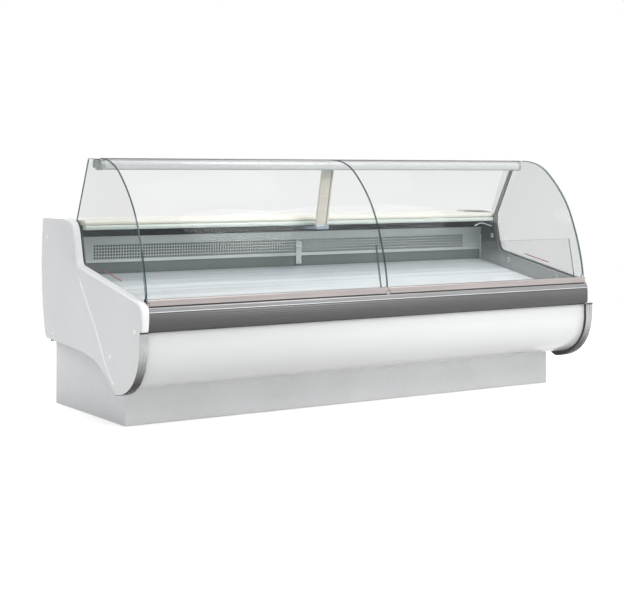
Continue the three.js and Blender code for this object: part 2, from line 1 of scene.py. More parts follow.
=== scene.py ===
# Looks of a refrigerated deli case with two tilting curved front panes, built round its CAD frame.
# The row frame is in metres with +Z up. Customers stand at low Y and the server at high Y.
import math

import bmesh
import bpy
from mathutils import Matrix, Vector


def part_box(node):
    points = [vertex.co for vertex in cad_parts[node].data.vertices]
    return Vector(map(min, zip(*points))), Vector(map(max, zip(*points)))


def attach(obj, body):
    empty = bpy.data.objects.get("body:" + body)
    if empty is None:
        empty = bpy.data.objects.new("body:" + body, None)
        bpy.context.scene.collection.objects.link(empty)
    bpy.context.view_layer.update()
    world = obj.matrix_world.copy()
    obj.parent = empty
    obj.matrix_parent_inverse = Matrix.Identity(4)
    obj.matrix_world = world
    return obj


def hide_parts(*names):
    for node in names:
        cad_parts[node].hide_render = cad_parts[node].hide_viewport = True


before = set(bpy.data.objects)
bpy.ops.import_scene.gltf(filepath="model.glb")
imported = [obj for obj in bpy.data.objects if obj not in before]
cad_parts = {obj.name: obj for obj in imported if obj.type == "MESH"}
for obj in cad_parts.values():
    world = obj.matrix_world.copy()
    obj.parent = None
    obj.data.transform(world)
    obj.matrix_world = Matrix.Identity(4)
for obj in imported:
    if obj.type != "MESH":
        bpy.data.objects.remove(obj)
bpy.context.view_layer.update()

# ------------------------------------------------------------------ places taken from the frame
MM = 0.001
PLINTH_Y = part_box("plinth_front")[0].y     # outlines are in millimetres, with Y = 0 at the plinth's face
SIDES = (("left", -1), ("right", 1))


def spot(x, y, z):
    """A point given in millimetres, as a place in the row frame."""
    return Vector((x * MM, PLINTH_Y + y * MM, z * MM))


def reach(node):
    """Lowest and highest corner of a CAD node in millimetres, as outlines use them."""
    low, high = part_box(node)
    shift = Vector((0, PLINTH_Y, 0))
    return (low - shift) / MM, (high - shift) / MM


PANEL_INNER = reach("side_panel_right")[0].x
PANEL_OUTER = reach("side_panel_right")[1].x
LINER_INNER = reach("side_liner_right")[0].x
LINER_OUTER = reach("side_liner_right")[1].x
BODY_HALF = reach("front_panel")[1].x
TUB_HALF = reach("worktop")[1].x
CANOPY_HALF = reach("canopy_profile")[1].x
CAP_HALF = reach("canopy_end_cap_right")[1].x
END_GLASS_IN = reach("end_glass_right")[0].x
END_GLASS_OUT = reach("end_glass_right")[1].x
PLINTH_HALF = reach("plinth_right")[1].x
REAR_Y = reach("rear_panel")[1].y

# ------------------------------------------------------------------ camera, floor and studio light
CAMERA_PLACE = (-3.9015, -5.941, 1.1081)
CAMERA_HEADING = 32.71                     # degrees clockwise from +Y
CAMERA_LENS = 82.03
FLOOR_HALF = 8.0

camera = bpy.data.objects.new("camera", bpy.data.cameras.new("camera"))
bpy.context.scene.collection.objects.link(camera)
camera.location = CAMERA_PLACE
camera.rotation_euler = (math.radians(90), 0, math.radians(-CAMERA_HEADING))
camera.data.lens = CAMERA_LENS
camera.data.sensor_width = 36
camera.data.shift_y = -0.2024
camera.data.clip_end = 100
bpy.context.scene.camera = camera
bpy.context.scene.view_settings.view_transform = "Standard"


def studio_light(name, place, aim, size, power):
    lamp = bpy.data.lights.new(name, "AREA")
    lamp.shape = "DISK"
    lamp.size = size
    lamp.energy = power
    holder = bpy.data.objects.new(name, lamp)
    bpy.context.scene.collection.objects.link(holder)
    holder.location = place
    holder.rotation_euler = (Vector(aim) - Vector(place)).to_track_quat("-Z", "Y").to_euler()


studio_light("front_light", (2.2, -4.8, 5.4), (0, 0, 0.5), 3.5, 360)
studio_light("top_light", (0.4, -0.4, 6.0), (0, 0, 0), 5.0, 150)
studio_light("rear_light", (-1.5, 6.0, 3.6), (0, 0, 0.5), 3.5, 140)


def light_the_room(surroundings, backdrop):
    """Even light from all round, with a brighter plain backdrop behind the object."""
    world = bpy.data.worlds.new("room")
    world.use_nodes = True
    bpy.context.scene.world = world
    tree = world.node_tree
    around = tree.nodes["Background"]
    around.inputs["Color"].default_value = (0.97, 0.985, 1, 1)
    around.inputs["Strength"].default_value = surroundings
    behind = tree.nodes.new("ShaderNodeBackground")
    behind.inputs["Color"].default_value = (1, 1, 1, 1)
    behind.inputs["Strength"].default_value = backdrop
    seen = tree.nodes.new("ShaderNodeLightPath")
    mix = tree.nodes.new("ShaderNodeMixShader")
    tree.links.new(seen.outputs["Is Camera Ray"], mix.inputs[0])
    tree.links.new(around.outputs[0], mix.inputs[1])
    tree.links.new(behind.outputs[0], mix.inputs[2])
    tree.links.new(mix.outputs[0], tree.nodes["World Output"].inputs[0])


light_the_room(0.78, 1.0)


# ------------------------------------------------------------------ finishes
class Nodes:
    """Adds nodes to a tree. A value is either put on a socket or linked to it."""

    def __init__(self, tree):
        self.tree = tree

    def put(self, socket, value):
        if isinstance(value, bpy.types.NodeSocket):
            self.tree.links.new(value, socket)
        else:
            socket.default_value = value

    def add(self, kind, inputs=None, **settings):
        node = self.tree.nodes.new(kind)
        for key, value in settings.items():
            setattr(node, key, value)
        for key, value in (inputs or {}).items():
            self.put(node.inputs[key], value)
        return node

    def math(self, operation, *values):
        return self.add("ShaderNodeMath", dict(enumerate(values)), operation=operation).outputs[0]


class Finish(Nodes):
    """A surface finish: one Principled shader, and the nodes that vary it over a piece."""

    def __init__(self, name, metal=0.0, **plain):
        self.material = bpy.data.materials.new(name)
        self.material.use_nodes = True
        super().__init__(self.material.node_tree)
        self.shader = self.tree.nodes["Principled BSDF"]
        self.shader.inputs["Metallic"].default_value = metal
        for key, value in plain.items():
            self.shader.inputs[key.replace("_", " ")].default_value = value
        self.place = self.add("ShaderNodeTexCoord").outputs["Object"]
        self.normal = None

    def grain(self, scale, stretch=(1, 1, 1), detail=3.0):
        """Noise from 0 to 1. A stretch below 1 draws it out along that axis."""
        spread = self.add("ShaderNodeMapping", {"Vector": self.place, "Scale": stretch})
        noise = self.add("ShaderNodeTexNoise", {"Vector": spread.outputs[0], "Scale": scale,
                                                "Detail": detail})
        return noise.outputs[0]

    def ridges(self, axis, pitch, offset=0.0):
        """A wave from 0 to 1 along X, Y or Z, with its pitch in millimetres."""
        split = self.add("ShaderNodeSeparateXYZ", {"Vector": self.place}).outputs[axis]
        turns = self.math("MULTIPLY_ADD", split, math.tau / (pitch * MM), offset)
        return self.math("MULTIPLY_ADD", self.math("SINE", turns), 0.5, 0.5)

    def height(self, low, high):
        """0 at one height in millimetres above the floor and 1 at another."""
        level = self.add("ShaderNodeSeparateXYZ", {"Vector": self.place}).outputs["Z"]
        return self.add("ShaderNodeMapRange", {"Value": level, 1: low * MM, 2: high * MM}).outputs[0]

    def between(self, factor, low, high, start=0.3, end=0.7):
        span = {"Value": factor, 1: start, 2: end, 3: low, 4: high}
        return self.add("ShaderNodeMapRange", span).outputs[0]

    def shades(self, factor, *colours, start=0.3, end=0.7):
        """Colours evenly spaced along a factor."""
        ramp = self.add("ShaderNodeValToRGB", {"Fac": factor})
        stops = ramp.color_ramp.elements
        while len(stops) < len(colours):
            stops.new(0.5)
        for i, colour in enumerate(colours):
            stops[i].position = start + (end - start) * i / (len(colours) - 1)
            stops[i].color = (*colour, 1)
        return ramp.outputs[0]

    def times(self, first, second, share=1.0):
        mix = self.add("ShaderNodeMixRGB", {0: share, 1: first, 2: second}, blend_type="MULTIPLY")
        return mix.outputs[0]

    def paint(self, colour):
        self.put(self.shader.inputs["Base Color"], colour)
        return self

    def rough(self, factor, low, high):
        self.put(self.shader.inputs["Roughness"], self.between(factor, low, high))
        return self

    def relief(self, factor, depth):
        """Lifts the surface by a factor times a depth in millimetres."""
        bump = self.add("ShaderNodeBump", {"Height": factor, "Distance": depth * MM, "Strength": 1.0})
        if self.normal:
            self.put(bump.inputs["Normal"], self.normal)
        self.normal = bump.outputs[0]
        self.put(self.shader.inputs["Normal"], self.normal)
        return self


def grey(level, warm=0.0):
    return (level * (1 + warm), level, level * (1 - warm))


def moulded_white():
    f = Finish("moulded_white")
    f.paint(f.times(f.shades(f.grain(2.2), grey(0.70), grey(0.745)),
                    f.shades(f.grain(60), grey(0.97), grey(1.0))))
    f.rough(f.grain(9), 0.34, 0.46)
    return f.relief(f.grain(900, detail=2), 0.03).material


def gloss_white():
    f = Finish("gloss_white", Coat_Weight=0.5, Coat_Roughness=0.06)
    f.paint(f.times(f.shades(f.grain(1.6, (0.3, 1, 1)), grey(0.59), grey(0.64)),
                    f.shades(f.grain(220), grey(0.985), grey(1.0))))
    f.rough(f.grain(5), 0.16, 0.24)
    return f.relief(f.grain(14, (0.2, 1, 1)), 0.08).material


def canopy_enamel(name, low, high):
    f = Finish(name, Coat_Weight=0.3, Coat_Roughness=0.1)
    long_grain = f.shades(f.grain(3, (0.2, 1, 1)), low, high)
    specks = f.shades(f.grain(150), grey(0.98), grey(1.0))
    f.paint(f.times(long_grain, specks))
    f.rough(f.grain(20, (0.1, 1, 1)), 0.22, 0.34)
    return f.relief(f.grain(120, (0.05, 1, 1)), 0.02).material


def rail_grey():
    f = Finish("rail_grey")
    streaks = f.grain(160, (0.01, 1, 1), detail=5)
    # painted light and shade: the rail is paler towards its top and darker towards its bottom
    bands = f.shades(f.height(444, 516), grey(0.058), grey(0.078), grey(0.105), start=0.1, end=0.9)
    f.paint(f.times(bands, f.shades(streaks, grey(0.9), grey(1.05))))
    f.rough(streaks, 0.34, 0.5)
    return f.relief(streaks, 0.06).relief(f.ridges("Z", 2.4), 0.05).material


def edge_strip_metal():
    """Bright strip metal with a painted dark reflection that deepens round the keel, where it turns away from
    the room.
    """
    f = Finish("edge_strip_metal", metal=0.6)
    streaks = f.grain(90, (1, 0.1, 0.1), detail=2)
    painted_dark_reflection = f.shades(f.height(150, 430), grey(0.012), grey(0.06), grey(0.22), grey(0.42), grey(0.5),
                    start=0.02, end=0.85)
    f.paint(f.times(painted_dark_reflection, f.shades(streaks, grey(0.9), grey(1.0))))
    f.rough(streaks, 0.24, 0.32)
    return f.relief(streaks, 0.01).material


def brushed(name, low, high, metal, rough_low, rough_high, along=(0.006, 1, 1), depth=0.03):
    """Metal brushed along one axis, with soft cloudiness and a few deeper scratches."""
    f = Finish(name, metal=metal)
    streaks = f.grain(420, along, detail=6)
    clouds = f.shades(f.grain(3.5), grey(0.93), grey(1.0))
    scratches = f.shades(f.grain(900, along, detail=1), grey(0.88), grey(1.0), start=0.2, end=0.34)
    f.paint(f.times(f.times(f.shades(streaks, low, high), clouds), scratches))
    f.rough(streaks, rough_low, rough_high)
    return f.relief(streaks, depth).material


def clear_glass(name, tint_low, tint_high, film, edge_film):
    """Clear sheet glass: thin from the front and stronger where it is seen at a slant."""
    f = Finish(name, IOR=1.5, Specular_IOR_Level=0.6)
    f.paint(f.shades(f.grain(1.5), tint_low, tint_high))
    f.rough(f.grain(6), 0.015, 0.035)
    slant = f.add("ShaderNodeLayerWeight", {"Blend": 0.5}).outputs["Facing"]
    haze = f.between(f.grain(2.0), -0.006, 0.006)
    opening = f.add("ShaderNodeMapRange", {"Value": slant, 3: film, 4: edge_film}).outputs[0]
    f.put(f.shader.inputs["Alpha"], f.math("ADD", opening, haze))
    return f.material


def glass_edge(name, dark, light, solid):
    """The ground edge of sheet glass, which looks green and nearly solid."""
    f = Finish(name, IOR=1.5, Alpha=solid)
    f.paint(f.shades(f.grain(35, (1, 1, 0.4)), dark, light))
    f.rough(f.grain(300), 0.12, 0.3)
    return f.relief(f.grain(700), 0.03).material


def liner_grey():
    """Smooth lining with painted shade: nearly black high up beside the back wall, paler low down beside the
    deck.
    """
    f = Finish("liner_grey")
    streaks = f.grain(300, (1, 0.02, 1), detail=4)
    painted_shade = f.shades(f.height(560, 860), (0.42, 0.425, 0.43), (0.38, 0.385, 0.39), (0.10, 0.105, 0.11),
                    (0.045, 0.048, 0.05), start=0.1, end=0.62)
    f.paint(f.times(painted_shade, f.shades(streaks, grey(0.88), grey(1.0))))
    f.rough(f.grain(30), 0.38, 0.52)
    return f.relief(streaks, 0.03).material


def deck_steel():
    f = Finish("deck_steel", metal=0.1)
    lines = f.grain(500, (0.004, 1, 1), detail=5)
    # painted shade: the deck darkens from its front towards the back wall
    across = f.add("ShaderNodeSeparateXYZ", {"Vector": f.place}).outputs["Y"]
    depth = f.add("ShaderNodeMapRange", {"Value": across, 1: PLINTH_Y, 2: PLINTH_Y + 0.56}).outputs[0]
    painted_shade = f.shades(depth, (0.96, 0.99, 1.0), (0.90, 0.95, 0.98), (0.66, 0.72, 0.75), start=0.0, end=1.0)
    bands = f.shades(f.grain(26, (0.02, 1, 0.02), detail=2), grey(0.8), grey(1.0), start=0.38, end=0.58)
    f.paint(f.times(f.times(painted_shade, f.shades(lines, grey(0.9), grey(1.0))), bands))
    f.rough(lines, 0.26, 0.42)
    return f.relief(lines, 0.04).material


def enamelled(name, low, high, metal=0.3, rough_low=0.3, rough_high=0.45):
    """Enamelled or coated steel sheet with a faint roll grain along the case."""
    f = Finish(name, metal=metal)
    roll = f.grain(260, (0.01, 1, 1), detail=4)
    f.paint(f.times(f.shades(f.grain(2.6, (0.5, 1, 1)), low, high), f.shades(roll, grey(0.93), grey(1.0))))
    f.rough(roll, rough_low, rough_high)
    return f.relief(roll, 0.02).material


def worktop_cream():
    f = Finish("worktop_cream", Coat_Weight=0.2, Coat_Roughness=0.15)
    f.paint(f.times(f.shades(f.grain(3), (0.80, 0.785, 0.69), (0.86, 0.845, 0.75)),
                    f.shades(f.grain(180), grey(0.96), grey(1.0))))
    f.rough(f.grain(12), 0.28, 0.4)
    return f.relief(f.grain(500), 0.02).material


def plinth_paint():
    f = Finish("plinth_paint")
    speckle = f.shades(f.grain(260, detail=2), grey(0.9), grey(1.0))
    f.paint(f.times(f.shades(f.grain(3.2), grey(0.72), grey(0.78)), speckle))
    f.rough(f.grain(14), 0.45, 0.6)
    return f.relief(f.grain(420), 0.08).material


def floor_white(solid_to, clear_from):
    """Pale studio floor that fades out into the backdrop, between two distances in metres."""
    f = Finish("floor_white")
    f.paint(f.shades(f.grain(0.6), grey(0.74), grey(0.77)))
    f.rough(f.grain(3), 0.7, 0.8)
    seen = f.add("ShaderNodeLightPath").outputs["Is Camera Ray"]
    f.shader.inputs["Emission Color"].default_value = (1, 1, 1, 1)
    f.put(f.shader.inputs["Emission Strength"], f.math("MULTIPLY", seen, 0.42))
    away = f.add("ShaderNodeVectorMath", {0: f.place}, operation="LENGTH").outputs["Value"]
    fade = f.add("ShaderNodeMapRange", {"Value": away, 1: solid_to, 2: clear_from, 3: 1.0, 4: 0.0},
                 interpolation_type="SMOOTHSTEP").outputs[0]
    f.put(f.shader.inputs["Alpha"], fade)
    return f.material


def dull(name, low, high, rough_low=0.5, rough_high=0.7, metal=0.0, scale=40.0, depth=0.05):
    """A plain worked surface, such as black plastic, rubber, foam or frame paint."""
    f = Finish(name, metal=metal)
    f.paint(f.times(f.shades(f.grain(4), low, high), f.shades(f.grain(scale * 6), grey(0.9), grey(1.0))))
    f.rough(f.grain(scale), rough_low, rough_high)
    return f.relief(f.grain(scale * 12), depth).material


def duct_black():
    """Painted shade: a near-black sheet for the unlit air duct behind the holes and the slot, with hardly any
    sheen.
    """
    f = Finish("duct_black", Specular_IOR_Level=0.03)
    f.paint(f.shades(f.grain(8), grey(0.002), grey(0.004)))
    f.rough(f.grain(30), 0.9, 1.0)
    return f.relief(f.grain(200), 0.05).material


MOULDED = moulded_white()
GLOSS = gloss_white()
# white for the panel screw caps, and a painted highlight on the crease bead
WHITE_CAPS_AND_HIGHLIGHT = canopy_enamel("bright_white", grey(0.93), grey(0.97))
CANOPY_WHITE = canopy_enamel("canopy_white", grey(0.71), grey(0.76))
# painted shade: a darker green-grey copy of the canopy enamel for its underside
CANOPY_UNDER_SHADE = canopy_enamel("canopy_underside", (0.33, 0.37, 0.35), (0.4, 0.44, 0.42))
CANOPY_CAP = canopy_enamel("canopy_cap_green", (0.36, 0.42, 0.39), (0.44, 0.5, 0.46))
RAIL = rail_grey()
LIGHT_PROFILE = brushed("light_profile", grey(0.27), grey(0.35), 0.35, 0.3, 0.45)
EDGE_METAL = edge_strip_metal()
ROSE = brushed("rose_profile", (0.39, 0.345, 0.33), (0.48, 0.435, 0.42), 0.4, 0.28, 0.42)
CLEAR = clear_glass("clear_glass", (0.13, 0.15, 0.15), (0.17, 0.19, 0.19), 0.055, 0.22)
EDGE_GREEN = glass_edge("glass_edge_green", (0.004, 0.04, 0.055), (0.012, 0.075, 0.095), 0.9)
EDGE_PALE = glass_edge("glass_edge_olive", (0.05, 0.055, 0.04), (0.10, 0.105, 0.08), 0.9)
CLEAR_INNER = clear_glass("clear_inner_glass", (0.26, 0.28, 0.28), (0.3, 0.32, 0.32), 0.035, 0.14)
LINER = liner_grey()
DECK = deck_steel()
BACK_WALL = enamelled("back_wall_steel", (0.54, 0.59, 0.57), (0.62, 0.67, 0.65))
# painted shade: a dark copy of the back wall steel for the recess under the lip
RECESS_SHADE = enamelled("back_recess_steel", (0.13, 0.165, 0.155), (0.18, 0.215, 0.205), metal=0.1)
PERFORATED_STEEL = enamelled("perforated_steel", (0.58, 0.63, 0.61), (0.66, 0.71, 0.69))
BACK_LIGHT = enamelled("back_lip_light", (0.72, 0.77, 0.75), (0.80, 0.84, 0.82))
GRILLE = brushed("return_grille_steel", grey(0.42), grey(0.54), 0.6, 0.3, 0.45)
CREAM = worktop_cream()
NOSING = canopy_enamel("nosing_pale_green", (0.60, 0.67, 0.62), (0.70, 0.76, 0.71))
POST_CREAM = canopy_enamel("post_cream", (0.66, 0.62, 0.53), (0.74, 0.70, 0.61))
POST_GREY = brushed("post_grey", (0.17, 0.19, 0.20), (0.24, 0.26, 0.27), 0.4, 0.35, 0.5, along=(1, 1, 0.01))
CLAMP = brushed("clamp_blue_steel", (0.26, 0.32, 0.38), (0.38, 0.44, 0.50), 0.4, 0.25, 0.4)
DARK_GROOVE = dull("groove_dark", (0.05, 0.06, 0.08), (0.09, 0.1, 0.13))
PLINTH = plinth_paint()
REAR_STEEL = brushed("rear_steel", grey(0.52), grey(0.62), 0.75, 0.28, 0.42)
FRAME_PAINT = dull("frame_paint", (0.04, 0.043, 0.047), (0.06, 0.064, 0.07), 0.4, 0.6, 0.2)
RUBBER = dull("foot_rubber", grey(0.02), grey(0.035), 0.7, 0.9)
FOAM = dull("tub_lining", grey(0.62, 0.01), grey(0.7, 0.01), 0.45, 0.6)
FINS = brushed("coil_aluminium", grey(0.6), grey(0.74), 0.9, 0.3, 0.45, along=(1, 0.05, 1))
ZINC = brushed("zinc_sheet", (0.5, 0.52, 0.54), (0.64, 0.66, 0.68), 0.9, 0.35, 0.55, along=(1, 0.6, 0.8))
FAN_BLACK = dull("fan_black", grey(0.018), grey(0.03), 0.4, 0.55)
FAN_METAL = brushed("fan_aluminium", grey(0.55), grey(0.68), 0.9, 0.3, 0.45, along=(1, 1, 0.1))
COMPRESSOR = dull("compressor_black", grey(0.012), grey(0.022), 0.25, 0.4)
CONTROL = dull("control_black", grey(0.02), grey(0.032), 0.35, 0.5)
DISPLAY = dull("display_window", (0.006, 0.007, 0.01), (0.012, 0.014, 0.018), 0.05, 0.1, depth=0.0)
KEY_WHITE = dull("key_white", grey(0.66), grey(0.72), 0.4, 0.55)
LAMP = canopy_enamel("lamp_diffuser", (0.86, 0.9, 0.92), (0.93, 0.96, 0.98))
SEAL_BROWN = dull("seal_brown", (0.10, 0.06, 0.055), (0.14, 0.09, 0.08))
LIMIT_RED = dull("limit_line_red", (0.5, 0.04, 0.03), (0.6, 0.07, 0.05), 0.4, 0.55)
SCREW = brushed("screw_steel", grey(0.5), grey(0.66), 0.9, 0.25, 0.4, along=(1, 1, 1))
# painted shade in the screws' cross recesses, and the dark plugs under the canopy caps
SCREW_DARK_AND_RECESS_SHADE = dull("screw_recess", grey(0.02), grey(0.04))
# dark finish for the edge joint, and painted shade on the panel's inner flange
JOINT_DARK_AND_SHADE = dull("joint_shadow", grey(0.03), grey(0.05))
PAINTED_DUCT_SHADE = duct_black()
FLOOR = floor_white(2.6, 5.5)


# ------------------------------------------------------------------ outlines in Y and Z, in millimetres
def trace(start, *moves, steps=10):
    """Points along an outline. A move holds its end point, after none, one or two control points."""
    points = [Vector(start)]
    for move in moves:
        hold = [points[-1]] + [Vector(p) for p in move]
        count = 1 if len(hold) == 2 else steps
        for k in range(1, count + 1):
            row = hold
            while len(row) > 1:
                row = [a.lerp(b, k / count) for a, b in zip(row, row[1:])]
            points.append(row[0])
    return points


def through(points, steps=6):
    """A smooth open curve through its points."""
    held = [Vector(p) for p in points]
    held = [held[0]] + held + [held[-1]]
    made = []
    for a, b, c, d in zip(held, held[1:], held[2:], held[3:]):
        for k in range(steps):
            t = k / steps
            bend = (2 * a - 5 * b + 4 * c - d) * (t * t / 2)
            made.append(b + (c - a) * (t / 2) + bend + (3 * b - a - 3 * c + d) * (t ** 3 / 2))
    return made + [held[-1]]


def beside(line, distance):
    """An open line moved sideways, to the right of its own direction."""
    moved = []
    for i, p in enumerate(line):
        along = (line[min(i + 1, len(line) - 1)] - line[max(i - 1, 0)]).normalized()
        moved.append(p + Vector((along.y, -along.x)) * distance)
    return moved


def strip(line, near, far):
    """The closed outline of a bent sheet, between two copies of an open line."""
    return beside(line, near) + beside(line, far)[::-1]


def inset(outline, distance):
    """A closed outline shrunk towards its inside."""
    area = sum(a.x * b.y - b.x * a.y for a, b in zip(outline, outline[1:] + outline[:1]))
    turn = math.copysign(distance, area)
    made = []
    for i, p in enumerate(outline):
        along = (outline[(i + 1) % len(outline)] - outline[i - 1]).normalized()
        made.append(p + Vector((-along.y, along.x)) * turn)
    return made


# ------------------------------------------------------------------ mesh work
SHARP = math.radians(25)
AXES = {
    "x": (Vector((0, 1, 0)), Vector((0, 0, 1)), Vector((1, 0, 0))),
    "y": (Vector((0, 0, 1)), Vector((1, 0, 0)), Vector((0, 1, 0))),
    "z": (Vector((1, 0, 0)), Vector((0, 1, 0)), Vector((0, 0, 1))),
}


def ease(bm, faces, width):
    """Bevels the sharp edges of some new faces."""
    bmesh.ops.recalc_face_normals(bm, faces=faces)
    edges = {e for f in faces for e in f.edges if len(e.link_faces) == 2}
    sharp = [e for e in edges if e.calc_face_angle(0) > SHARP]
    bmesh.ops.bevel(bm, geom=sharp, offset=width * MM, segments=2, profile=0.5, affect="EDGES")


def add_rings(bm, rings, edge=0.0):
    """Adds a closed shape that runs through rings of points, with flat ends."""
    rows = [[bm.verts.new(p) for p in ring] for ring in rings]
    faces = [bm.faces.new(rows[0][::-1]), bm.faces.new(rows[-1])]
    for low, high in zip(rows, rows[1:]):
        for i in range(len(low)):
            j = (i + 1) % len(low)
            faces.append(bm.faces.new((low[i], low[j], high[j], high[i])))
    if edge:
        ease(bm, faces, edge)


def add_sweep(bm, outline, x0, x1, edge=0.0):
    """Adds a Y-Z outline swept from x0 to x1."""
    add_rings(bm, [[spot(x, *p) for p in outline] for x in (x0, x1)], edge)


def add_block(bm, x0, x1, y0, y1, z0, z1, edge=0.0):
    add_sweep(bm, [(y0, z0), (y1, z0), (y1, z1), (y0, z1)], x0, x1, edge)


def add_turned(bm, profile, centre, axis, sides=32, way=1):
    """Adds a turned shape. The profile holds radius and distance along the axis, from pole to pole."""
    u, v, along = AXES[axis]
    rings = []
    for radius, distance in profile:
        middle = spot(*centre) + along * (way * distance * MM)
        turns = [math.tau * k / sides for k in range(sides if radius else 1)]
        rings.append([bm.verts.new(middle + (u * math.cos(t) + v * math.sin(t)) * (radius * MM))
                      for t in turns])
    for low, high in zip(rings, rings[1:]):
        for k in range(sides):
            corners = (low[k % len(low)], low[(k + 1) % len(low)],
                       high[(k + 1) % len(high)], high[k % len(high)])
            bm.faces.new(list(dict.fromkeys(corners)))


def add_tube(bm, points, radius, sides=12):
    """Adds a round bar or pipe along a smooth line of places in millimetres."""
    line = through(points, 5)
    rings = []
    side = Vector((0, 0, 1))
    for i, p in enumerate(line):
        along = (line[min(i + 1, len(line) - 1)] - line[max(i - 1, 0)]).normalized()
        side = (side - along * side.dot(along)).normalized()
        other = along.cross(side)
        turns = [math.tau * k / sides for k in range(sides)]
        rings.append([spot(*(p + (side * math.cos(t) + other * math.sin(t)) * radius)) for t in turns])
    add_rings(bm, rings)


def add_rounded_panel(bm, outline, inner, outer, radius, steps=7):
    """Adds a moulded panel whose outer face rolls over into its edge."""
    side = math.copysign(1, outer - inner)
    small = 2.0
    levels = [(inner, small), (inner + side * small, 0.0)]
    for k in range(steps + 1):
        turn = math.pi / 2 * k / steps
        levels.append((outer - side * radius * (1 - math.sin(turn)), radius * (1 - math.cos(turn))))
    add_rings(bm, [[spot(x, *p) for p in inset(outline, d)] for x, d in levels])


def add_bead(bm, line, face_x, side, width, height):
    """Adds a low rounded bead that follows a line on an outer face."""
    rings = []
    for i, p in enumerate(line):
        along = (line[min(i + 1, len(line) - 1)] - line[max(i - 1, 0)]).normalized()
        across = Vector((along.y, -along.x))
        ring = [(-1.0, -0.3), (-0.8, 0.35), (-0.35, 0.9), (0.0, 1.0), (0.35, 0.9), (0.8, 0.35), (1.0, -0.3)]
        taper = min(1.0, 4.0 * min(i, len(line) - 1 - i) / len(line) + 0.1)
        rings.append([spot(face_x + side * height * taper * h, *(p + across * width / 2 * w))
                      for w, h in ring])
    add_rings(bm, rings)


def show(name, mesh, body, stands_for):
    mesh.shade_smooth()
    mesh.set_sharp_from_angle(angle=SHARP)
    made = bpy.data.objects.new(name, mesh)
    bpy.context.scene.collection.objects.link(made)
    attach(made, body)
    if stands_for:
        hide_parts(*stands_for)
    return made


def piece(name, bm, finishes, body="cabinet", stands_for=(), choose=None):
    """Turns a mesh in work into a finished piece. choose gives a face's finish by its number."""
    bmesh.ops.recalc_face_normals(bm, faces=bm.faces[:])
    if choose:
        for face in bm.faces:
            face.material_index = choose(face)
    mesh = bpy.data.meshes.new(name)
    bm.to_mesh(mesh)
    bm.free()
    for finish in finishes if isinstance(finishes, tuple) else (finishes,):
        mesh.materials.append(finish)
    return show(name, mesh, body, (stands_for,) if isinstance(stands_for, str) else stands_for)


def dress(finish, *nodes):
    """Gives a finish to CAD nodes that are shown as they are."""
    for node in nodes:
        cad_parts[node].material_slots[0].material = finish


# ------------------------------------------------------------------ repeated work by geometry nodes
def start_tree(name, *inputs):
    tree = bpy.data.node_groups.new(name, "GeometryNodeTree")
    tree.interface.new_socket("Geometry", in_out="INPUT", socket_type="NodeSocketGeometry")
    for label, kind in inputs:
        tree.interface.new_socket(label, in_out="INPUT", socket_type="NodeSocket" + kind)
    tree.interface.new_socket("Geometry", in_out="OUTPUT", socket_type="NodeSocketGeometry")
    work = Nodes(tree)
    given = work.add("NodeGroupInput").outputs
    return work, given


def end_tree(work, geometry, finish):
    real = work.add("GeometryNodeRealizeInstances", {0: geometry})
    done = work.add("GeometryNodeSetMaterial", {"Geometry": real.outputs[0], "Material": finish})
    work.add("NodeGroupOutput", {0: done.outputs[0]})
    return work.tree


def grow(name, places, tree, values, body="cabinet", stands_for=()):
    """Runs a tree on a mesh of single points and keeps its result as a plain piece."""
    seed = bpy.data.meshes.new(name + "_points")
    seed.from_pydata([tuple(p) for p in places], [], [])
    holder = bpy.data.objects.new(name + "_holder", seed)
    bpy.context.scene.collection.objects.link(holder)
    modifier = holder.modifiers.new("grow", "NODES")
    modifier.node_group = tree
    for item in tree.interface.items_tree:
        if item.in_out == "INPUT" and item.name in values:
            modifier[item.identifier] = values[item.name]
    graph = bpy.context.evaluated_depsgraph_get()
    mesh = bpy.data.meshes.new_from_object(holder.evaluated_get(graph), preserve_all_data_layers=True,
                                           depsgraph=graph)
    mesh.name = name
    holder.modifiers.remove(modifier)
    bpy.data.objects.remove(holder)
    return show(name, mesh, body, stands_for)


